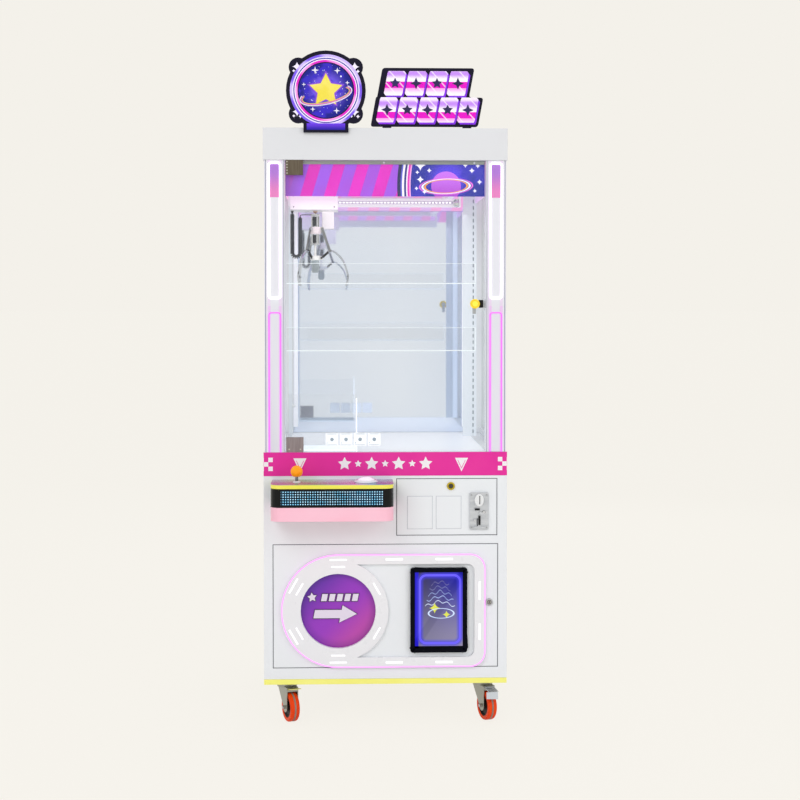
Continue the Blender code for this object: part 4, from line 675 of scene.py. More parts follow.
def board_look():
    """The base board: white underneath, with its edge band in canary yellow."""
    look = Finish("base board", CANARY, 0.35)
    edge = look.either(look.below(look.y, -0.3490), look.above(look.y, 0.4990),
                       look.above(look.size(look.x), 0.4090))
    yellow = look.blotch("#FDFA7C", "#FFFC8C", 6)
    look.set("Base Color", look.mix(edge, look.blotch("#D9D8D4", "#E2E1DD", 8), yellow))
    return look.bump(look.noise(700, 2), 0.00004, 0.5)


def mirror_look():
    """Mirror acrylic, a little hazy, with its back painted grey."""
    look = Finish("mirror acrylic", "#E8EFF6", 0.04, 0.90)
    tint = look.mix(look.fade(look.off(look.x, 0.0), 0.05, 0.32), "#E9F1FE", "#DFE9FA")
    silver = look.mix(look.fade(look.noise(2.2, 3), 0.3, 0.7), tint, "#E4EDFC")
    behind = look.above(look.y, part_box("back_panel")[0].y + 0.0010)
    look.set("Base Color", look.mix(behind, silver, look.blotch("#C9CCD0", "#D0D3D6", 5)))
    look.set("Metallic", look.scaled(behind, -0.90, 0.90))
    return look.set("Roughness", look.scaled(behind, 0.40, look.times(look.noise(5, 3), 0.08)))


BANNER_SPARKS = ((0.118, 1.886, 0.026), (0.108, 1.862, 0.010), (0.118, 1.838, 0.017),
                 (0.148, 1.868, 0.012), (0.292, 1.868, 0.014), (0.312, 1.884, 0.012),
                 (0.318, 1.830, 0.013), (0.270, 1.886, 0.012), (0.105, 1.808, 0.010),
                 (0.132, 1.796, 0.011), (0.302, 1.800, 0.010))


def banner_look():
    """Slanted magenta and violet stripes, then a curved edge and a night sky with a planet."""
    look = Finish("banner print", "#C23AD0", 0.4)
    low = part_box("banner_surround")[0]
    stripe = look.above(look.saw(look.scaled(look.z, -0.30, look.x), 0.0805, -0.862), 0.5)
    stripes = look.mix(stripe, look.blotch("#A048D2", "#9850DC", 7), look.blotch("#DE18C0", "#D214B2", 7))
    # Darker towards the left end: painted shade.
    stripes = look.mix(look.outside(look.fade(look.x, low.x, low.x + 0.07)), stripes, "#8A46B4")
    sky = look.mix(look.fade(look.radius(look.x, look.z, 0.215, 1.845), 0.02, 0.090), "#5038DC", "#0E1A94")
    sky = look.mix(look.fade(look.noise(14, 3), 0.52, 0.70), sky, "#2A22B4")
    planet_x, planet_z, lean, squeeze = 0.205, 1.815, -0.35, 3.2
    planet = look.radius(look.x, look.z, planet_x, planet_z)
    orbit = look.radius(look.scaled(look.z, lean, look.x), look.times(look.z, squeeze),
                        planet_x + lean * planet_z, squeeze * planet_z)
    sky = look.layers(
        sky,
        (look.below(planet, 0.050), look.mix(look.fade(look.z, 1.77, 1.86), "#A63CC4", "#C46AE6")),
        (look.between(orbit, 0.068, 0.074), "#F0A03C"),
        (look.between(orbit, 0.076, 0.083), "#F6EEFA"),
        (look.between(orbit, 0.086, 0.091), "#E86AD8"),
        *((look.spark(x, z, 0.8 * size), "#F4F0FF") for x, z, size in BANNER_SPARKS))
    reach = look.radius(look.x, look.z, 0.500, 1.815)
    rings = ((0.415, "#F2A6DC"), (0.419, "#E02CB8"), (0.426, "#F3EEFA"), (0.430, "#20247C"),
             (0.437, "#F3EEFA"), (0.444, "#4E54C4"), (0.449, "#0E1050"), (0.460, stripes))
    sky = look.layers(sky, *((look.above(reach, edge), colour) for edge, colour in rings))
    art = look.mix(look.above(look.x, 0.0), stripes, sky)
    # Only the front face carries the print; the other faces get the stripes in pale tones, a lit copy painted
    # as light.
    outer = look.below(look.y, low.y + 0.0012)
    face = look.mix(outer, look.mix(stripe, "#E4C2F2", "#F8B6E2"), art)
    look.set("Base Color", face)
    # The whole banner glows faintly: painted light.
    return look.glow(face, 0.30)


def matrix_look():
    """Rows of small square lamps, mostly pale cyan, on dark teal."""
    look = Finish("matrix lamps", "#0E3E58", 0.3)
    low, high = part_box("matrix_display")
    pitch = 0.0081
    across, up = look.saw(look.x, pitch, low.x + 0.004), look.saw(look.z, pitch, low.z + 0.0035)
    face = look.times(look.below(look.y, low.y + 0.0005), look.above(look.z, low.z + 0.0035),
                      look.below(look.z, high.z - 0.0015))
    lamps = look.times(look.between(across, 0.30, 0.70), look.between(up, 0.29, 0.71), face)
    tone = look.mix(look.fade(look.noise(40, 2), 0.35, 0.65), "#7CCBF2", "#B4E4FF")
    ground = look.mix(look.fade(look.noise(6, 1), 0.40, 0.60), "#000608", "#021C2E")
    colour = look.mix(lamps, ground, tone)
    look.set("Base Color", look.mix(0.75, colour, "#04080C"))
    look.set("Specular IOR Level", 0.15)
    return look.glow(colour, 1.35, where=face)


def shimmer_look():
    """A film that shifts through mauve, gold, green, pink and blue along the console."""
    look = Finish("shimmer film", "#B79AA8", 0.22, 0.45)
    low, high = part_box("console_top")
    ramp = look.node("ShaderNodeValToRGB")
    stops = ("#A87A98", "#B9A3B4", "#B3AF86", "#9DC08A", "#B7AFC6", "#D7A7CB", "#7FA3C4", "#9C8CB8")
    while len(ramp.color_ramp.elements) < len(stops):
        ramp.color_ramp.elements.new(1.0)
    for i, (element, colour) in enumerate(zip(ramp.color_ramp.elements, stops)):
        element.position = i / (len(stops) - 1)
        element.color = linear(colour)
    along = look.less(look.scaled(look.y, 0.25, look.x), low.x - 0.115)
    slide = look.calc("DIVIDE", along, high.x - low.x)
    look.join(look.scaled(look.noise(9, 2), 0.10, slide), ramp.inputs["Fac"])
    top = look.above(look.z, high.z - 0.0022)
    look.set("Base Color", look.mix(top, look.blotch("#F4EC55", "#FBF468", 6), ramp.outputs["Color"]))
    return look.bump(look.noise(600, 2), 0.00003, 0.4)


def console_look():
    """Pink tray below, gloss black above it."""
    look = Finish("console shell", "#F9B9CC", 0.3, Specular_IOR_Level=0.2)
    black = look.above(look.z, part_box("console_body")[0].z + 0.0455)
    pink = look.blotch("#FFBCD0", "#FFC8DA", 5)
    look.set("Base Color", look.mix(black, pink, look.blotch("#050608", "#0B0C0F", 9)))
    look.set("Roughness", look.mix(black, "#909090", "#505050"))
    return look.bump(look.noise(900, 2), 0.00004, 0.5)


def flap_look():
    """A violet to magenta sweep across the prize flap, darker round its rim."""
    look = Finish("flap print", "#8B2BB0", 0.32)
    low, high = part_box("prize_flap")
    size, middle = high - low, (low + high) / 2
    across_and_down = look.add(look.less(look.x, low.x), look.less(high.z, look.z))
    slide = look.calc("DIVIDE", across_and_down, size.x + size.z)
    sweep = look.mix(look.fade(slide, 0.15, 0.50), "#5A209C", "#8E2DB4")
    sweep = look.mix(look.fade(slide, 0.50, 0.85), sweep, "#B4409E")
    rim = look.fade(look.radius(look.x, look.z, middle.x, middle.z), 0.095, 0.128)
    sweep = look.mix(look.times(rim, 0.35), sweep, "#4A1880")
    look.set("Base Color", sweep)
    # The print glows faintly: painted light.
    return look.glow(sweep, 0.15)


def screen_look():
    """A black bezel round a grey-violet picture: a rounded frame of light, waves, a ring, sparkles."""
    look = Finish("attract screen", "#0A0C16", 0.2, Specular_IOR_Level=0.05)
    low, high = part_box("display_screen")
    rim = 0.0155
    x0, x1, z0, z1 = low.x + rim, high.x - rim, low.z + 0.022, high.z - rim
    cx, cz = (x0 + x1) / 2 + 0.004, (z0 + z1) / 2
    half_x, half_z, corner = 0.068, 0.115, 0.022
    picture = look.times(look.between(look.x, x0, x1), look.between(look.z, z0, z1),
                         look.below(look.y, low.y + 0.0045))
    out_x = look.either(look.less(look.off(look.x, cx), half_x - corner), 0.0)
    out_z = look.either(look.less(look.off(look.z, cz), half_z - corner), 0.0)
    ring = look.off(look.length(out_x, out_z), corner)
    halo = look.outside(look.fade(ring, 0.003, 0.016))
    rise = look.fade(look.z, z0, z1)
    colour = look.layers(
        look.mix(look.fade(look.x, x0, x1), look.mix(rise, "#7C7894", "#3E3A58"),
                 look.mix(rise, "#8C86A4", "#2626A0")),
        (look.below(look.x, x0 + 0.012), "#2A22C8"),
        (look.times(halo, 0.75), "#4A44D8"),
        (look.below(ring, 0.0036), "#6E62FF"))
    for i, tone in enumerate(("#DCE8FF", "#AFC2F4", "#98A8DC", "#8C90C0", "#8480A8")):
        wave = look.calc("SINE", look.times(look.x, 190.0 + 12 * i))
        level = look.scaled(wave, 0.0045, cz + 0.028 + 0.0165 * i)
        hump = look.scaled(look.off(look.x, cx), -0.35, level)
        line = look.times(look.below(look.off(look.z, hump), 0.0011 if i < 3 else 0.0007),
                          look.below(look.off(look.x, cx), 0.050 - 0.005 * i))
        colour = look.mix(line, colour, tone)
    squeeze = 2.6
    orbit = look.radius(look.x, look.times(look.z, squeeze), cx + 0.004, (cz - 0.014) * squeeze)
    colour = look.layers(
        colour,
        (look.spark(cx - 0.018, cz + 0.004, 0.020), "#DDE05A"),
        (look.spark(cx + 0.022, cz - 0.018, 0.014), "#DDE05A"),
        (look.between(orbit, 0.040, 0.0455), "#CFE0FF"))
    bezel = look.blotch("#04060E", "#080A16", 10)
    look.set("Base Color", look.mix(picture, bezel, look.mix(0.80, colour, "#05060C")))
    return look.glow(colour, 0.90, where=picture)


def badge_look():
    """Rings of lilac, white and magenta round a night sky."""
    look = Finish("badge print", "#15102A", 0.3, Specular_IOR_Level=0.2)
    low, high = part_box("badge_sign")
    cx, cz = (low.x + high.x) / 2, high.z - BADGE_RADIUS
    reach = look.radius(look.x, look.z, cx, cz)
    sky = look.mix(look.fade(reach, 0.02, 0.085), "#7C62F2", "#1D1F86")
    sky = look.mix(look.fade(look.noise(26, 3), 0.50, 0.66), sky, "#3A2CC0")
    sky = look.mix(look.above(look.noise(150, 1), 0.735), sky, "#E6E4FF")
    # Slanting bands of lighter tone across the magenta and violet rings: a painted sheen.
    wave = look.scaled(look.x, 42.0, look.times(look.z, 60.0))
    painted_sheen = look.fade(look.calc("SINE", wave), -0.6, 0.8)
    rim = 0.1200
    rings = ((0.0905, "#1A1440"), (0.0945, look.mix(painted_sheen, "#E22CC8", "#F69AE6")), (0.1015, "#F6EEFF"),
             (0.1045, "#2B2A9A"), (0.1080, "#E9DEFF"), (0.1120, look.mix(painted_sheen, "#7D5CE8", "#CDB8FF")),
             (rim, "#0D0922"))
    art = look.layers(sky, *((look.above(reach, edge), colour) for edge, colour in rings))
    lobes = look.outside(look.below(reach, rim))
    for turn in (38, 142, 218, 322):
        x = cx + 0.1215 * math.cos(math.radians(turn))
        z = cz + 0.1215 * math.sin(math.radians(turn))
        for dx, dz, size in ((0.0, 0.004, 0.0165), (-0.011, -0.010, 0.0065), (0.011, -0.011, 0.0075)):
            art = look.mix(look.times(lobes, look.spark(x + dx, z + dz, size, 0.62)), art, "#F1EAFF")
    tab = look.times(look.below(look.off(look.x, cx), 0.0640),
                     look.between(look.z, low.z + 0.0085, low.z + 0.0300))
    art = look.mix(tab, art, look.mix(look.fade(look.z, low.z + 0.008, low.z + 0.030), "#2A1EA0", "#6A3CE0"))
    front = look.below(look.y, low.y + 0.0004)
    colour = look.mix(front, look.blotch("#0C0820", "#120D2A", 30), art)
    look.set("Base Color", colour)
    # The front glows faintly: painted light.
    return look.glow(colour, 0.12, where=front)


def row_look():
    """The blocks' face: white to pink, a magenta line, then white, lilac and white again."""
    look = Finish("block face", "#E7C8F6", 0.22, Specular_IOR_Level=0.25)
    low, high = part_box("row_sign")
    up = look.saw(look.z, (high.z - low.z) / 2, low.z)
    tone = look.layers(
        "#FBEEFE",
        (look.fade(up, 0.14, 0.34), "#F59AE6"), (look.above(up, 0.33), "#E410C4"),
        (look.above(up, 0.54), "#FCF6FF"), (look.fade(up, 0.60, 0.80), "#C48CF2"),
        (look.fade(up, 0.84, 0.96), "#F2E2FC"))
    # Slanting pale streaks across the faces: a painted sheen.
    painted_streak_sheen = look.saw(look.scaled(look.z, 0.9, look.x), 0.047)
    tone = look.mix(look.times(look.between(painted_streak_sheen, 0.30, 0.42), 0.55), tone, "#FDF6FF")
    look.set("Base Color", tone)
    # The faces glow faintly: painted light.
    return look.glow(tone, 0.12)


# --- Cabinet ----------------------------------------------------------------------------------
def screw_heads(name, places, facing, body, look, radius=0.0042, proud=0.0008):
    """Button-head screws with a round recess, all of one row."""
    bm = bmesh.new()
    profile = [(0, proud), (radius * 0.25, proud), (radius * 0.3, proud * 0.4), (radius * 0.55, proud * 0.4),
               (radius * 0.6, proud), (radius * 0.9, proud * 0.7), (radius, -0.0005), (0, -0.0005)]
    for place in places:
        turned(bm, profile, place, facing, 14)
    return into(name, bm, look, body, smooth=True)


def make_cabinet(white, steel):
    sheet, post = 0.0008, post_look()
    for node, look, bevel in (
            ("lower_cabinet", cabinet_look(), sheet), ("service_door", white, sheet),
            ("coin_door", white, sheet), ("control_box", white, sheet),
            ("header", coat("header white", "#E2E3E7"), 0.0004), ("base_board", board_look(), 0.0006),
            ("fascia_band", band_look(), 0.0006), ("left_side_frame", post, sheet),
            ("right_side_frame", post, sheet), ("banner_surround", banner_look(), 0.0003)):
        dressed(node, look, bevel)
    # The deck and the chute glow faintly: painted light.
    coated(coat("deck white", "#F1F4F6", 0.3).glow("#EEF4FF", 0.20), "prize_deck")
    coated(coat("chute white", "#E8ECEF", 0.35).glow("#E8F0F8", 0.36), "prize_chute")
    coated(clear("side glass"), "left_side_glass", "right_side_glass")
    coated(clear("guard acrylic", "#F2F8FA", 0.05, 0.5), "chute_guard")
    coated(mirror_look(), "back_panel")

    low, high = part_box("lower_cabinet")
    rows = (low.z + 0.118, (low.z + high.z) / 2, high.z - 0.118)
    places = [(x, high.y, z) for x in (-0.262, 0.262) for z in rows]
    screw_heads("rear_cover_screws", places, "Y", "cabinet", steel, proud=0.0)
    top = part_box("header")[1].z - 0.0012
    places = [(x, y, top) for x in (-0.38, 0.0, 0.38) for y in (-0.30, 0.08, 0.46)]
    screw_heads("header_top_screws", places, "Z", "cabinet", steel)


def make_band_marks():
    """Plain stars where a name would run."""
    low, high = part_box("fascia_band")
    z, first, pitch, sizes = (low.z + high.z) / 2 + 0.001, -0.138, 0.0455, (0.0235, 0.0125)
    outlines = [star((first + pitch * i, z), sizes[i % 2], inner=0.5) for i in range(7)]
    look = moulded("band ink", "#F6F2F6", 0.35)
    plates("band_stars", outlines, low.y - 0.0005, low.y + 0.0002, look, "cabinet")


def make_neon():
    """On each front post, a closed white loop above and a pink one below that opens at its foot."""
    white_light = lit("white neon", "#FFFFFF", 1.0)
    pink_light = lit("pink neon", "#E868EE", 0.88, "#A855AE")
    low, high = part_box("left_side_frame")
    half, corner = NEON_WIDTH / 2, NEON_WIDTH * 0.22
    for name, x in (("left", -NEON_X), ("right", NEON_X)):
        upper = rounded(x - half, 1.438, x + half, high.z - 0.010, corner, 5)
        lower = ([(x + half, low.z)] + arc((x + half - corner, 1.389 - corner), corner, 0, 90, 5)
                 + arc((x - half + corner, 1.389 - corner), corner, 90, 180, 5) + [(x - half, low.z)])
        for part, outline, radius, look, closed in (("upper", upper, 0.0037, white_light, True),
                                                    ("lower", lower, 0.0023, pink_light, False)):
            route = [(px, low.y - 0.0006, pz) for px, pz in outline]
            tube(f"{name}_{part}_neon", route, radius, look, "cabinet", closed)


# --- Play chamber -----------------------------------------------------------------------------
def make_door():
    """The glass door, its hinge plates and studs, and the two clear strips behind it."""
    dressed("glass_door", clear("door glass", "#EEF5F5", 0.015, 0.4), 0.0005)
    upper = brushed("hinge plate steel", "#72685C", 0.42, (12, 1, 1), "#7E7466")
    lower = brushed("lower plate steel", "#A3989B", 0.42, (12, 1, 1), "#978C90")
    dressed("upper_patch_hinge", upper, 0.0006)
    dressed("lower_patch_hinge", lower, 0.0006)
    hinge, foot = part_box("upper_patch_hinge")[0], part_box("lower_patch_hinge")
    pins = [(hinge.x + 0.0045, hinge.y, hinge.z + 0.006 + 0.0095 * i) for i in range(5)]
    pins += [(x, foot[0].y, foot[0].z + 0.010) for x in (foot[0].x + 0.010, foot[1].x - 0.010)]
    stud = brushed("stud steel", "#D8D4CC", 0.3)
    screw_heads("hinge_studs", pins, "-Y", "glass_door", stud, 0.0026, 0.0007)
    low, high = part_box("glass_door")
    strip = clear("strip acrylic", "#F4FAFC", 0.025, 0.5)
    # The strips' edges glow white: a painted highlight.
    edge = lit("acrylic edge", "#FFFFFF", 0.30, "#DDE6EA")
    left, right, y = low.x + 0.004, high.x - 0.034, high.y + 0.0002
    for name, z0, z1 in (("upper", 1.489, 1.554), ("lower", 1.263, 1.338)):
        blocks(f"{name}_clear_strip", [((left, y, z0), (right, y + 0.003, z1))], strip, "glass_door",
               bevel=0.0004)
        near, far, sill, lip = y - 0.0001, y + 0.0034, z0 - 0.0030, z1 + 0.0012
        blocks(f"{name}_strip_edges", [((left, near, sill), (right, far, z0)),
                                       ((left, near, z1), (right, far, lip)),
                                       ((right, near, sill), (right + 0.0016, far, lip))], edge, "glass_door")
    make_cards(y)


def make_cards(y):
    """Four blank white cards behind the glass, each with grey lines and plain marks."""
    # The cards glow faintly: painted light.
    card = moulded("card white", "#F6F8FA", 0.5).glow("#F0F4FA", 0.25)
    line = moulded("card grey", "#B9C2CC", 0.6)
    ink = moulded("card ink", "#9FB0BE", 0.6)
    corners = [(-0.202 + i * 0.0475, 0.9400) for i in range(4)]
    paper = [rounded(x, z, x + 0.0430, z + 0.0440, 0.003, 3) for x, z in corners]
    rules = [oblong(x + x0, z + z0, x + x1, z + z1) for x, z in corners
             for x0, z0, x1, z1 in ((0.006, 0.0395, 0.037, 0.0415), (0.004, 0.003, 0.039, 0.0045))]
    marks = [outline for i, (x, z) in enumerate(corners)
             for outline in (arc((x + 0.0215, z + 0.022), 0.0065, 0, 300, 5 + i),
                             arc((x + 0.0055, z + 0.0105), 0.0016, 0, 315, 7))]
    plates("notice_cards", paper, y + 0.0002, y + 0.0007, card, "glass_door")
    plates("card_rules", rules, y, y + 0.0002, line, "glass_door")
    plates("card_marks", marks, y, y + 0.0002, ink, "glass_door")


def make_door_lock(black):
    """A yellow thumb cylinder in a black clamp, over its steel stem."""
    low, x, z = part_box("glass_door_lock")[0], middle_of("glass_door_lock").x, 1.419
    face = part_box("glass_door")[0].y
    knob = Finish("lock yellow", "#F7D91E", 0.30)
    in_front = knob.below(knob.y, face + 0.0002)
    reach = knob.radius(knob.x, knob.z, x, z)
    cap = knob.times(in_front, knob.below(knob.y, low.y + 0.0004))
    # On the knob's end, a dark ring line round a lighter middle; the lighter middle is a painted highlight.
    paint = knob.layers(knob.blotch("#F6D41A", "#FFE02E", 60),
                        (knob.times(cap, knob.between(reach, 0.0100, 0.0112)), "#B88A10"),
                        (knob.times(cap, knob.below(reach, 0.0100)), "#FFEC50"))
    knob.set("Base Color", knob.mix(in_front, "#B9BCC2", paint))
    knob.set("Metallic", knob.outside(in_front))
    # The yellow glows faintly: painted light.
    knob.glow("#F4CC10", 0.16, where=in_front)
    coated(knob, "glass_door_lock")
    clamp = ((x + 0.0135, face - 0.0095, z - 0.0130), (x + 0.0285, face - 0.0003, z + 0.0130))
    blocks("lock_clamp", [clamp], black, "glass_door", bevel=0.0012)
    count, grip = 10, 0.0160
    ribs = []
    for px, pz in arc((x, z), grip, 0, 360 - 360 / count, count - 1):
        ribs.append(((px, face - grip, pz), (px, face - grip + 0.0120, pz), 0.0009))
    yellow = moulded("lock yellow", "#F7D91E", 0.28, "#FFE338")
    rods("lock_grip_ribs", ribs, yellow, "glass_door_lock", 6, smooth=True)


def make_upright():
    """A slotted upright at the chamber's right, a sheet of painted shade behind its slots, and one at the
    left.
    """
    x0, x1, slot_x, y, thick = 0.2880, 0.3375, 0.3255, 0.0200, 0.0020
    z0, z1, pitch, slot, gap = 0.9430, 1.8770, 0.0230, 0.0130, 0.0020
    # The uprights glow faintly: painted light.
    grey = coat("upright grey", "#DCE2E9", 0.35).glow("#DCE6F2", 0.12)
    strips = [((x0, y, z0), (slot_x - gap, y + thick, z1)), ((slot_x + gap, y, z0), (x1, y + thick, z1))]
    for i in range(int((z1 - z0) / pitch) + 1):
        top = min(z0 + (i + 1) * pitch - slot, z1)
        strips.append(((slot_x - gap, y, z0 + i * pitch), (slot_x + gap, y + thick, top)))
    blocks("slotted_upright", strips, grey, "cabinet")
    # Behind the slots, a sheet grey-blue in front as painted shade, its back pale and glowing as painted
    # light.
    channel = Finish("upright slot shade", "#8D99A4", 0.5)
    behind = channel.above(channel.y, y + 0.0046)
    channel.set("Base Color", channel.mix(behind, channel.blotch("#8D99A4", "#97A2AC", 9), "#E6EBF1"))
    channel.glow("#DCE6F2", 0.35, where=behind)
    behind_slots = ((slot_x - 0.0100, y + 0.0040, z0), (slot_x + 0.0100, y + 0.0050, z1))
    blocks("upright_slot_shade", [behind_slots], channel, "cabinet")
    blocks("left_upright", [((-x1, y, z0), (-0.3265, y + thick, z1))], grey, "cabinet")


def make_chamber(white):
    """The uprights, corner trims, the banner's rail, a glowing bead on the guard's edge as a painted
    highlight, and a pull cord.
    """
    make_upright()
    # The corner trims glow faintly: painted light.
    trim = coat("trim white", "#F2F4FA", 0.3).glow("#EEF2FF", 0.15)
    corners = [((x, 0.4560, 0.9430), (x + 0.0190, 0.4700, 1.7770)) for x in (-0.3370, 0.3180)]
    blocks("corner_trims", corners, trim, "cabinet", bevel=0.002)
    low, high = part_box("banner_surround")
    front = low.y - 0.0050
    rail = ((low.x, front, high.z - 0.0120), (high.x, low.y - 0.0004, high.z))
    grey = brushed("rail grey", "#A7AEA8", 0.4, (1, 30, 30))
    blocks("banner_rail", [rail], grey, "cabinet", bevel=0.0006)
    places = [(x, front, high.z - 0.0062) for x in (-0.30, -0.005, 0.30)]
    screw_heads("banner_rail_screws", places, "-Y", "cabinet", white, 0.0036, 0.0012)
    low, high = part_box("chute_guard")
    x, y = high.x - 0.0020, low.y + 0.004
    # A white glowing bead up the guard's front edge: a painted highlight.
    rods("guard_edge_painted_highlight", [((x, y, low.z), (x, y, high.z), 0.0019)], lit("guard edge", "#FFFFFF", 0.6),
         "cabinet", 12, smooth=True)
    knob = Vector((-0.3290, 0.3000, 1.0350))
    bm = bmesh.new()
    bmesh.ops.create_uvsphere(bm, u_segments=20, v_segments=12, radius=0.0068,
                              matrix=Matrix.Translation(knob))
    rod(bm, knob - Vector((0.0110, 0, 0)), knob, 0.0028, 10)
    rod(bm, knob, (knob.x, knob.y, 1.7000), 0.0012, 8)
    into("switch_cord_knob", bm, white, "cabinet", smooth=True)


# --- Gantry and claw --------------------------------------------------------------------------
def make_gantry(steel, metal, black):
    """The rails, and on the bridge its row of lamps and end roller; the carriage and its fittings."""
    # The rails glow faintly: painted light.
    rails = coat("rail white", "#F1F2F6", 0.32).glow("#F0ECF8", 0.16)
    for node in ("crane_frame", "crane_bridge"):
        dressed(node, rails, 0.0008)
    shell = coat("carriage white", "#F4EEF4", 0.3)
    # The carriage glows, pale pink above z 1.7395 and dim grey below: painted light, brighter at the top.
    shell.glow(shell.mix(shell.above(shell.z, 1.7395), "#3C3A40", "#F6E6FA"), 0.26)
    dressed("crane_carriage", shell, 0.0030, 3)
    front, z, start, end, step = -0.2150, 1.7665, -0.155, 0.238, 0.0118
    lamps = []
    for i in range(int((end - start) / step)):
        x = start + i * step
        lamps.append(((x, front - 0.0004, z - 0.0021), (x + step * 0.55, front - 0.0001, z + 0.0021)))
    blocks("beam_lamps", lamps, lit("beam lamp", "#FFFFFF", 0.8), "crane_bridge")
    strip = ((start - 0.004, front - 0.0002, z - 0.0048), (end + 0.002, front + 0.0004, z + 0.0048))
    blocks("beam_lamp_strip", [strip], moulded("lamp strip", "#D9D4E6", 0.4), "crane_bridge")
    bm = bmesh.new()
    turned(bm, [(0, 0.0120), (0.0060, 0.0115), (0.0110, 0.0090), (0.0140, 0.0040), (0.0145, -0.0020),
                (0.0145, -0.0100), (0, -0.0100)], (0.2490, -0.2165, z - 0.0010), "-Y", 28)
    turned(bm, [(0, 0.0180), (0.0035, 0.0176), (0.0050, 0.0150), (0.0050, 0.0080), (0, 0.0080)],
           (0.2490, -0.2120, z - 0.0010), "-Y", 16)
    into("beam_end_roller", bm, metal, "crane_bridge", smooth=True)
    low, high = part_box("crane_carriage")
    places = [(x, low.y, z) for x in (low.x + 0.012, high.x - 0.012) for z in (1.748, 1.785)]
    screw_heads("carriage_screws", places, "-Y", "crane_carriage", steel, 0.0028, 0.0006)
    under, lead_x = 1.7382, -0.317
    lathe("hoist_guide", [(0, 0.0), (0.0075, 0.0), (0.0075, -0.0050), (0.0050, -0.0065), (0, -0.0065)],
          (*CLAW, under), brushed("guide brass", "#C9A998", 0.35), "crane_carriage", 20)
    lathe("cord_gland", [(0, 0.0), (0.0048, 0.0), (0.0040, -0.0060), (0, -0.0060)],
          (lead_x, CLAW[1], under), black, "crane_carriage", 14)


def around(radius, turn, z):
    """A point off the claw's axis, at a turn from +X."""
    angle = math.radians(turn)
    return Vector((CLAW[0] + radius * math.cos(angle), CLAW[1] + radius * math.sin(angle), z))


def add_lugs(bm, z, low, high):
    """A block off the claw's axis towards each prong, given as it lies at turn 0."""
    for turn in PRONG_TURNS:
        place = Matrix.Translation((*CLAW, z)) @ Matrix.Rotation(math.radians(turn), 4, "Z")
        bmesh.ops.transform(bm, verts=block(bm, low, high), matrix=place)


def make_claw_head(metal):
    """The upper cage, its collar, the lower cage, and the lugs that carry the links."""
    low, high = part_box("claw_head")
    top, bottom, axis = high.z, low.z, (*CLAW, 0)
    collar_top, collar_low, bore = 1.683, 1.659, 0.0048
    cage = bmesh.new()
    turned(cage, [(0, top), (0.0155, top), (0.0165, top - 0.001), (0.0165, top - 0.0055), (0, top - 0.0055)],
           axis)
    turned(cage, [(0, top - 0.005), (bore, top - 0.005), (bore, collar_top - 0.001), (0, collar_top - 0.001)],
           axis)
    for reach, z0, z1, radius in ((0.0132, collar_top - 0.001, top - 0.005, 0.0027),
                                  (0.0125, bottom + 0.001, collar_low + 0.001, 0.0031)):
        for turn in range(30, 390, 90):
            rod(cage, around(reach, turn, z0), around(reach, turn, z1), radius, 14)
    turned(cage, [(bore, bottom + 0.0045), (0.0160, bottom + 0.0045), (0.0160, bottom + 0.001),
                  (0.0145, bottom), (bore, bottom), (bore, bottom + 0.0045)], axis)
    add_lugs(cage, 1.677, (0.0150, -0.0028, -0.0070), (0.0290, 0.0028, 0.0070))
    core = bmesh.new()
    for z0, z1, radius in ((collar_top + 0.004, top - 0.010, 0.0098),
                           (bottom + 0.008, collar_low - 0.003, 0.0092)):
        turned(core, [(bore, z1), (radius * 0.9, z1), (radius, z1 - 0.001), (radius, z0 + 0.001),
                      (radius * 0.9, z0), (bore, z0), (bore, z1)], axis, sides=28)
    coil = moulded("coil black", "#1E2028", 0.35, "#2A2D36")
    into("solenoid_core", core, coil, "claw_head", smooth=True)
    piece = into("claw_cage", cage, metal, "claw_head", bevel=0.0005, smooth=True)
    stands_for(piece, "claw_head")
    lathe("claw_collar", [(0, collar_top), (0.0175, collar_top), (0.0190, collar_top - 0.002),
                          (0.0190, collar_low + 0.002), (0.0175, collar_low), (bore, collar_low),
                          (bore, collar_low + 0.0192), (0, collar_low + 0.0192)],
          axis, moulded("collar enamel", "#F3E6EC", 0.3), "claw_head", 40)


def make_claw_hub():
    """The plunger's rod and hub with the prongs' lugs, and the clear bell under it."""
    low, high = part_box("claw_hub")
    hub_top, hub_low, bell_low, axis = 1.585, 1.569, low.z, (*CLAW, 0)
    bm = bmesh.new()
    turned(bm, [(0, high.z), (0.0038, high.z), (0.0038, hub_top), (0.0150, hub_top),
                (0.0165, hub_top - 0.0015), (0.0165, hub_low + 0.0015), (0.0150, hub_low), (0, hub_low)],
           axis, sides=40)
    add_lugs(bm, 1.577, (0.0150, 0.0034, -0.0060), (0.0255, 0.0058, 0.0060))
    white = moulded("hub white", "#F2F2F0", 0.25)
    hub = into("plunger_hub", bm, white, "claw_hub", bevel=0.0004, smooth=True)
    stands_for(hub, "claw_hub")
    wall, flare = 0.0012, 0.0135
    inner, top = flare - wall, hub_low - 0.0002
    profile = [(0, top), (flare - 0.002, top), (flare, hub_low - 0.003), (flare, bell_low + 0.008),
               (flare - 0.003, bell_low + 0.002), (flare - 0.005, bell_low),
               (inner - 0.005, bell_low + 0.001), (inner - 0.003, bell_low + 0.003),
               (inner, bell_low + 0.009), (inner, hub_low - 0.004), (0, hub_low - 0.004)]
    lathe("claw_bell", profile, axis, clear("bell plastic", "#DCE8ED", 0.30, 0.5), "claw_hub", 40)


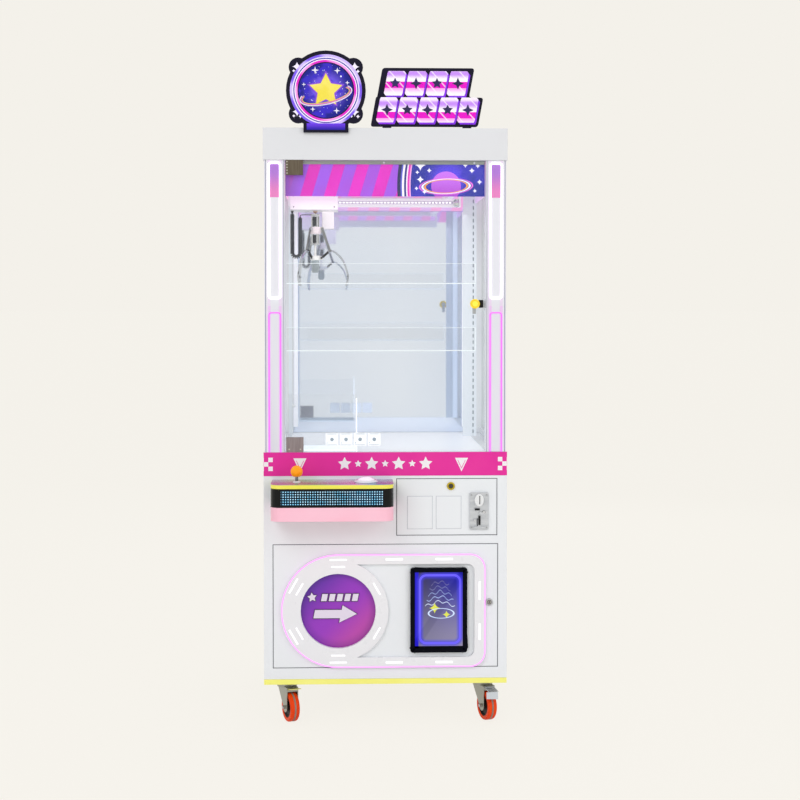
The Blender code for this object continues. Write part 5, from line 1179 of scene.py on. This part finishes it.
def make_prongs(black):
    """Each link and prong, with the prong's black arm, its pivots and its rivets."""
    for number, turn in enumerate(PRONG_TURNS, 1):
        body = f"claw_prong_{number}"
        dressed(f"claw_link_{number}", brushed(f"link {number} steel", "#8D8F94", 0.3, (1, 1, 30)), 0.0004)
        coated(chrome(f"prong {number} chrome", "#C6CCD6", 0.12), body)
        side = Vector((-math.sin(math.radians(turn)), math.cos(math.radians(turn)), 0))
        bm = bmesh.new()
        rod(bm, around(0.0245, turn, 1.5795), around(0.0450, turn, 1.5975), 0.0042, 12)
        for at in (around(0.0215, turn, 1.577), around(0.0500, turn, 1.601)):
            rod(bm, at - side * 0.0044, at + side * 0.0044, 0.0034, 14)
        into(f"prong_{number}_arm", bm, black, body, bevel=0.0004, smooth=True)
        rivets = [(at - side * 0.0042, at + side * 0.0042, 0.0022)
                  for at in (around(0.0535, turn, 1.6035), around(0.1105, turn, 1.5130))]
        dark = moulded(f"rivet {number} dark", "#4A4E58", 0.35)
        rods(f"prong_{number}_rivets", rivets, dark, body, 12, smooth=True)


# --- Console ----------------------------------------------------------------------------------
def make_console(black):
    dressed("console_body", console_look(), 0.0012)
    coated(matrix_look(), "matrix_display")
    dressed("console_top", shimmer_look(), 0.0010)
    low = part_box("console_body")[0]
    seam = ((low.x - 0.0005, -0.4700, low.z + 0.0440), (low.x + 0.0010, low.y + 0.150, low.z + 0.0475))
    blocks("tray_seam", [seam], black, "cabinet")

    centre, top, radius = middle_of("joystick_ball"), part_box("joystick_ball")[1].z, 0.0202
    orange = moulded("ball orange", "#FFA008", 0.22, "#FF9406", Specular_IOR_Level=0.35)
    # The ball glows faintly: painted light.
    ball = into("ball_knob", ball_shape((centre.x, centre.y, top - radius), radius),
                orange.glow("#FF9A08", 0.16), "joystick", smooth=True)
    stands_for(ball, "joystick_ball")
    coated(chrome("shaft steel", "#7E8086", 0.2), "joystick_shaft")
    coated(black, "joystick_gimbal")
    top_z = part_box("console_top")[1].z
    lathe("dust_washer", [(0, 0.0042), (0.0070, 0.0042), (0.0110, 0.0032), (0.0135, 0.0012), (0.0138, 0.0003),
                          (0, 0.0003)], (centre.x, centre.y, top_z), moulded("washer white", "#E6E8EE", 0.25),
          "cabinet")

    low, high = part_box("drop_button")
    centre = (*((low + high) / 2).xy, 0)
    outer, z0, z1 = 0.0390, top_z + 0.0003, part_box("button_bezel")[1].z
    ring = lathe("button_ring", [(0.0290, z0 + 0.001), (0.0290, z1 - 0.001), (0.0305, z1), (0.0345, z1),
                                 (outer - 0.0010, z1 - 0.0035), (outer, z0 + 0.0012), (outer - 0.0008, z0),
                                 (0.0300, z0), (0.0290, z0 + 0.001)],
                 centre, moulded("ring milk", "#EDEAF2", 0.12, Coat_Weight=0.4), "cabinet", 56)
    stands_for(ring, "button_bezel")
    dome = arc((0, high.z - 0.0140), 0.0140, 90, 20, 7)
    look = moulded("button milk", "#F6F0F8", 0.08, "#EFE6F6", Coat_Weight=0.6)
    # The dome glows faintly in blotches of pink and blue: painted light.
    look.glow(look.blotch("#F3D9EE", "#DCE4FA", 30), 0.22)
    profile = [(0, high.z)] + [(max(x * 1.95, 0.0001), z) for x, z in dome[1:]]
    profile += [(0.0278, high.z - 0.0105), (0.0278, low.z), (0, low.z)]
    button = lathe("button_dome", profile, centre, look, "drop_button", 48)
    stands_for(button, "drop_button")


def ball_shape(centre, radius):
    """A moulded ball with a flat where the shaft enters."""
    bm = bmesh.new()
    bmesh.ops.create_uvsphere(bm, u_segments=48, v_segments=28, radius=radius,
                              matrix=Matrix.Translation(centre))
    opened = bmesh.ops.bisect_plane(bm, geom=bm.verts[:] + bm.edges[:] + bm.faces[:],
                                    plane_co=(0, 0, centre[2] - radius * 0.80), plane_no=(0, 0, -1),
                                    clear_outer=True)
    rim = [e for e in opened["geom_cut"] if isinstance(e, bmesh.types.BMEdge)]
    bmesh.ops.edgeloop_fill(bm, edges=rim)
    return bm


# --- Doors below ------------------------------------------------------------------------------
def cam_lock(name, centre, ring, radius, black, plug):
    """The ring and key plug on a cam lock's head, and its keyway."""
    (x, z), node = centre, f"{name}_door_lock"
    look = Finish(f"{name} lock metal", ring, 0.25, 1.0)
    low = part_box(node)[0]
    head = look.below(look.y, low.y + 0.0055)
    reach = look.radius(look.x, look.z, x, z)
    look.set("Base Color", look.layers(
        look.mix(head, "#B9BCC2", look.blotch(ring, ring, 50)),
        (look.times(head, look.below(reach, radius * 0.62)), "#15140F"),
        (look.times(head, look.below(reach, radius * 0.50)), plug)))
    look.vary("Roughness", 0.2, 0.34, 60)
    coated(look, node)
    # A black slit on the lock's face: painted shade for the depth of the keyway.
    keyway = ((x - 0.0011, low.y - 0.0003, z - 0.0042), (x + 0.0011, low.y + 0.0004, z + 0.0042))
    blocks(f"{name}_keyway", [keyway], black, node)


def outline_gap(name, low, high, y, width, look, body="cabinet"):
    """The dark line of the gap round a door, seated in the gap."""
    back = y + 0.004
    blocks(name, [((low.x - width, y, low.z - width), (low.x, back, high.z + width)),
                  ((high.x, y, low.z - width), (high.x + width, back, high.z + width)),
                  ((low.x, y, low.z - width), (high.x, back, low.z)),
                  ((low.x, y, high.z), (high.x, back, high.z + width))], look, body)


def make_gaps_and_locks(black):
    """The lines round the two doors and the coin door's two blanked slots, and both cam locks."""
    gap, blank = moulded("gap shadow", "#3E404C", 0.8), moulded("blank edge", "#B4B7C2", 0.6)
    outline_gap("coin_door_gap", *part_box("coin_door"), -0.3502, 0.0021, gap)
    for i, x in enumerate((0.1155, 0.2125)):
        corner, far = Vector((x - 0.0415, 0, 0.6610)), Vector((x + 0.0415, 0, 0.7700))
        outline_gap(f"coin_blank_edge_{i}", corner, far, -0.3506, 0.0012, blank, "coin_door")
    outline_gap("service_door_gap", *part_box("service_door"), -0.3502, 0.0021, gap)
    cam_lock("coin", (0.2200, 0.8050), "#CDB63A", 0.0135, black, "#5E5B52")
    cam_lock("service", (0.3500, 0.4110), "#C4C4CA", 0.0125, black, "#A8A6A2")


def make_acceptor(steel, metal, black):
    """The coin acceptor's casting, with its slots, boss, ribs and screws."""
    cast = brushed("acceptor casting", "#D4D7DC", 0.30, (1, 1, 8), "#C4C8CE")
    cast.set("Metallic", 0.62)
    dressed("coin_acceptor", cast, 0.0010)
    cx, face = middle_of("coin_acceptor").x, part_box("coin_acceptor")[0].y
    oval = [(cx + 0.0155 * math.cos(a), 0.7580 + 0.0215 * math.sin(a))
            for a in (math.tau * i / 32 for i in range(32))]
    boss = moulded("boss metal", "#EDEFF2", 0.25, Metallic=0.35)
    plates("slot_boss", [oval], face - 0.0017, face + 0.0010, boss, "coin_door",
           bevel=0.0012, segments=3, smooth=True)
    # Black blocks for the slots and openings on the face: painted shade for their depth.
    blocks("coin_slots", [((cx + 0.0004, face - 0.0019, 0.7440), (cx + 0.0034, face - 0.0012, 0.7730)),
                          ((cx - 0.0150, face - 0.0006, 0.7235), (cx + 0.0020, face + 0.0002, 0.7300)),
                          ((cx - 0.0030, face - 0.0006, 0.6740), (cx + 0.0045, face + 0.0002, 0.7050))],
           black, "coin_door", bevel=0.0002)
    bm = bmesh.new()
    for x in (cx - 0.0190, cx + 0.0075):
        block(bm, (x, face - 0.0014, 0.6630), (x + 0.0115, face, 0.6690))
    ramp = block(bm, (cx - 0.0010, face - 0.0016, 0.7060), (cx + 0.0190, face, 0.7160))
    bmesh.ops.rotate(bm, verts=ramp, cent=(cx + 0.009, face, 0.711), matrix=Matrix.Rotation(0.55, 3, "Y"))
    into("acceptor_ribs", bm, cast, "coin_door", bevel=0.0006)
    places = [(cx + dx, face, z) for dx in (-0.0255, 0.0255) for z in (0.6655, 0.7755)]
    screw_heads("acceptor_screws", places, "-Y", "coin_door", steel, 0.0026, 0.0008)
    screw_heads("acceptor_adjuster", [(cx - 0.0150, face, 0.6900)], "-Y", "coin_door", metal, 0.0042, 0.0012)
    coated(metal, "coin_return_button")


def make_surround():
    """The prize flap's surround: its edge neon, its lamp dashes and the flap's finish."""
    dressed("door_surround", coat("surround white", "#EEEEF2", 0.28), 0.0016, 3)
    low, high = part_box("door_surround")
    cx, cz, face = middle_of("prize_flap").x, (low.z + high.z) / 2, low.y
    outer, corner, inset = (high.z - low.z) / 2, 0.050, 0.0014
    path = arc((high.x - corner, high.z - corner), corner - inset, 0, 90, 8)
    path += arc((cx, cz), outer - inset, 90, 270, 40)
    path += arc((high.x - corner, low.z + corner), corner - inset, -90, 0, 8)
    pink = lit("edge neon", "#EE82F2", 0.75, "#F29CF4")
    tube("surround_neon", [(x, face + 0.0008, z) for x, z in path], 0.0021, pink, "service_door", closed=True)

    front, back = face - 0.0007, face + 0.0003
    bm = bmesh.new()
    dashes = [(0.1500, turn, 0.0460, 0.0052) for turn in range(30, 390, 60)]
    dashes += [(0.1735, turn, 0.0570, 0.0056) for turn in (90, 150, 210, 270)]
    for radius, turn, length, width in dashes:
        dash = block(bm, (radius - width / 2, front, -length / 2), (radius + width / 2, back, length / 2))
        spin = Matrix.Rotation(-math.radians(turn), 4, "Y")
        bmesh.ops.transform(bm, verts=dash, matrix=Matrix.Translation((cx, 0, cz)) @ spin)
    for x0, x1 in ((0.0, 0.057), (0.168, 0.226)):
        for z in (cz + 0.1745, cz - 0.1745):
            block(bm, (x0, front, z - 0.0036), (x1, back, z + 0.0036))
    for z0, z1 in ((0.421, 0.483), (0.285, 0.340)):
        block(bm, (high.x - 0.0225, front, z0), (high.x - 0.0160, back, z1))
    into("surround_lamps", bm, lit("dash lamp", "#F6F8FF", 0.32), "service_door", bevel=0.0003)
    dressed("prize_flap", flap_look(), 0.0012)


def make_flap_marks():
    """A star, a row of bars and an arrow on the flap, all leaning, on their dark shade."""
    centre, front = middle_of("prize_flap"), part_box("prize_flap")[0].y
    lean = 0.20
    for name, grow, lift, look in (
            ("flap_mark_shade", 0.0022, 0.0003, moulded("flap ink shade", "#43204E", 0.4)),
            ("flap_mark", 0.0, 0.0006, moulded("flap ink", "#E6DCEE", 0.35))):
        first, pitch, share = -0.064, 0.026, 0.72
        shapes = [oblong(first + i * pitch - grow, 0.029 - grow,
                         first + (i + share) * pitch + grow, 0.053 + grow) for i in range(5)]
        tail, neck, tip, middle, half, barb = -0.078, 0.012, 0.066, -0.015, 0.014, 0.029
        shapes.append([(tail - grow, middle - half - grow), (neck - grow, middle - half - grow),
                       (neck - grow, middle - barb - grow), (tip + grow * 1.5, middle),
                       (neck - grow, middle + barb + grow), (neck - grow, middle + half + grow),
                       (tail - grow, middle + half + grow)])
        leaning = [[(centre.x + x + lean * z, centre.z + z) for x, z in shape] for shape in shapes]
        leaning.append(star((centre.x - 0.088, centre.z + 0.042), 0.0165 + grow * 1.6, inner=0.52, turn=96))
        plates(name, leaning, front - lift, front + 0.0003, look, "prize_flap")


def make_screen():
    """The screen's case: round corners, and the picture sunk inside its rim."""
    low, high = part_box("display_screen")
    bm = bmesh.new()
    plate(bm, rounded(low.x, low.z, high.x, high.z, 0.0085), low.y, high.y)
    bm.normal_update()
    front = min(bm.faces, key=lambda face: face.calc_center_median().y)
    for thickness, depth in ((0.0145, 0.0), (0.0004, -0.0020)):
        bmesh.ops.inset_region(bm, faces=[front], thickness=thickness, depth=depth, use_even_offset=True)
    case = into("screen_case", bm, screen_look(), "service_door", bevel=0.0010, segments=3)
    stands_for(case, "display_screen")


# --- Signs ------------------------------------------------------------------------------------
def make_badge():
    """The round badge: a star on its rim, three orbit lines and small sparkles."""
    dressed("badge_sign", badge_look(), 0.0010)
    low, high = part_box("badge_sign")
    cx, cz, front = (low.x + high.x) / 2, high.z - BADGE_RADIUS, low.y
    gold = moulded("star yellow", "#F6E34A", 0.3, "#FFF07A")
    plates("badge_star", [star((cx, cz), 0.058, inner=0.50)], front - 0.0022, front, gold, "cabinet",
           bevel=0.0018, segments=3, smooth=True)
    violet = moulded("star rim violet", "#8A4CE0", 0.3)
    plates("badge_star_rim", [star((cx, cz), 0.066, inner=0.52)], front - 0.0010, front, violet, "cabinet",
           bevel=0.0008)
    c, s, steps = math.cos(0.22), math.sin(0.22), 60
    for name, colour, radius, inset in (("white", "#F4EEFF", 0.0019, 0.0), ("pink", "#F07AD8", 0.0015, 0.005),
                                        ("gold", "#F2D86A", 0.0012, 0.0085)):
        points = []
        for i in range(steps + 1):
            a = math.radians(152 + 236 * i / steps)
            x, z = (0.088 - inset) * math.cos(a), (0.030 - inset * 0.8) * math.sin(a)
            points.append((cx + x * c - z * s, front - 0.0024, cz - 0.016 + x * s + z * c))
        tube(f"badge_orbit_{name}", points, radius, moulded(f"badge orbit {name}", colour, 0.25), "cabinet")
    sparkles = []
    for turn, size in ((60, 0.011), (118, 0.013), (20, 0.008), (165, 0.007), (-62, 0.011), (-125, 0.009)):
        angle = math.radians(turn)
        sparkles.append(star((cx + 0.076 * math.cos(angle), cz + 0.076 * math.sin(angle)), size, 4, 0.30))
    white = moulded("sparkle white", "#F4F0FF", 0.3)
    plates("badge_sparkles", sparkles, front - 0.0006, front, white, "cabinet")


def make_row_sign():
    """Two rows of plain slanted blocks with a mark on each, on the navy board."""
    navy = moulded("board navy", "#0C0820", 0.35, "#120D2A", Specular_IOR_Level=0.2)
    dressed("row_sign", navy, 0.0008)
    front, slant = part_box("row_sign")[0].y, 0.185
    faces, sides, marks = [], [], []
    for x0, x1, z0, tall, count in ((-0.0330, 0.3060, 2.0265, 0.0840, 5),
                                    (-0.0070, 0.2740, 2.1160, 0.0820, 4)):
        width, z1 = (x1 - x0) / count, z0 + tall
        for i in range(count):
            a, b = x0 + i * width, x0 + (i + 1) * width - 0.0075
            shape = [(a + 0.007, z0), (b - 0.002, z0), (b, z0 + 0.008), (b, z1 - 0.008),
                     (b - 0.007, z1), (a + 0.002, z1), (a, z1 - 0.008), (a, z0 + 0.008)]
            face = [(x + slant * (z - z0), z) for x, z in shape]
            faces.append(face)
            sides.append([(x + 0.0050, z - 0.0058) for x, z in face])
            at = (x0 + (i + 0.5) * width + slant * tall / 2 - 0.0035, z0 + tall * 0.50)
            points, inner, size = ((5, 0.50, 0.0185), (4, 0.42, 0.0200))[(i + count) % 2]
            marks.append(star(at, size, points, inner))
    plates("block_faces", faces, front - 0.0046, front - 0.0020, row_look(), "cabinet",
           bevel=0.0016, segments=3)
    ink = moulded("mark navy", "#1A1046", 0.35, "#22165A")
    plates("block_marks", marks, front - 0.0050, front - 0.0044, ink, "cabinet")
    purple = moulded("block side", "#7A1EE0", 0.3, "#8E2CF4")
    plates("block_sides", sides, front - 0.0020, front + 0.0002, purple, "cabinet", bevel=0.0004)


# --- Casters ----------------------------------------------------------------------------------
CASTER_YAW = {"front_left": 22, "front_right": 20, "rear_left": 14, "rear_right": -12}


def make_caster(name, zinc, tread, stripe, core, steel):
    """One caster: its wheel in three rings, its fork and its axle nuts."""
    body = f"caster_wheel_{name}"
    low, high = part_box(body)
    centre = (low + high) / 2
    radius, half, yaw = (high.z - low.z) / 2, 0.016, math.radians(CASTER_YAW[name])
    axle = Vector((math.cos(yaw), math.sin(yaw), 0))
    place = Matrix.Translation(centre) @ axle.to_track_quat("Z", "Y").to_matrix().to_4x4()

    def ring(part, half_profile, look, sides):
        """A ring about the axle, given by the profile of its one side."""
        other = [(reach, -across) for reach, across in reversed(half_profile)]
        bm = bmesh.new()
        verts = turned(bm, half_profile + other + half_profile[:1], sides=sides)
        bmesh.ops.transform(bm, verts=verts, matrix=place)
        return into(f"{part}_{name}", bm, look, body, smooth=True)

    wheel = ring("tread", [(radius * 0.72, half - 0.001), (radius - 0.004, half),
                           (radius - 0.0012, half - 0.0022), (radius, half - 0.0060), (radius, 0.0040),
                           (radius - 0.0005, 0.0036)], tread, 56)
    stands_for(wheel, body)
    ring("tread_wear", [(radius - 0.0020, 0.0033), (radius - 0.0002, 0.0030)], stripe, 56)
    ring("wheel_core", [(0.0045, half - 0.003), (0.0110, half - 0.0015), (0.0130, half - 0.005),
                        (radius * 0.60, half - 0.006), (radius * 0.68, half - 0.0018),
                        (radius * 0.718, half - 0.0018)], core, 40)
    dressed(f"caster_fork_{name}", zinc, 0.0006)
    ends = [(centre + axle * side * 0.0285, axle * side) for side in (-1, 1)]
    nuts = [(at - out * 0.004, at + out * 0.0008, 0.0068) for at, out in ends]
    rods(f"axle_nuts_{name}", nuts, steel, f"caster_fork_{name}", 6, bevel=0.0005)


def make_casters(steel):
    zinc = brushed("zinc plate", "#A6A69C", 0.38, (6, 6, 1))
    tread = moulded("tread orange", "#F44A06", 0.45, "#EA3E04", Specular_IOR_Level=0.2)
    stripe = moulded("tread wear", "#8C7468", 0.7, "#9A8478")
    core = moulded("wheel core", "#1C1614", 0.5, "#281C18", Specular_IOR_Level=0.2)
    for name in CASTER_YAW:
        make_caster(name, zinc, tread, stripe, core, steel)
    dressed("brake_pedal_front_left", brushed("pedal zinc", "#DCD98A", 0.28, (4, 4, 1)), 0.0006)
    bright = brushed("pedal zinc bright", "#D5DCE6", 0.2, (4, 4, 1))
    dressed("brake_pedal_front_right", bright, 0.0006)
    low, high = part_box("brake_pedal_front_right")
    bm = bmesh.new()
    lip = block(bm, (low.x + 0.003, low.y + 0.0006, low.z - 0.0200),
                (high.x - 0.003, low.y + 0.0022, low.z + 0.0030))
    bmesh.ops.rotate(bm, verts=lip, cent=((low.x + high.x) / 2, low.y + 0.001, low.z),
                     matrix=Matrix.Rotation(-0.30, 3, "X"))
    into("pedal_lip_front_right", bm, bright, "brake_pedal_front_right", bevel=0.0005)


# --- The machine ------------------------------------------------------------------------------
def main():
    place_camera()
    make_cords()
    make_stage()
    white = coat("cabinet white", WHITE_COAT)
    steel, metal = brushed("screw steel", "#B4B6BA", 0.3), chrome()
    black = moulded("black plastic", "#0C0D10", 0.4, "#131418", Specular_IOR_Level=0.25)
    make_cabinet(white, steel)
    make_band_marks()
    make_neon()
    make_door()
    make_door_lock(black)
    make_chamber(white)
    make_gantry(steel, metal, black)
    make_claw_head(metal)
    make_claw_hub()
    make_prongs(black)
    make_console(black)
    make_gaps_and_locks(black)
    make_acceptor(steel, metal, black)
    make_surround()
    make_flap_marks()
    make_screen()
    make_badge()
    make_row_sign()
    make_casters(steel)


main()
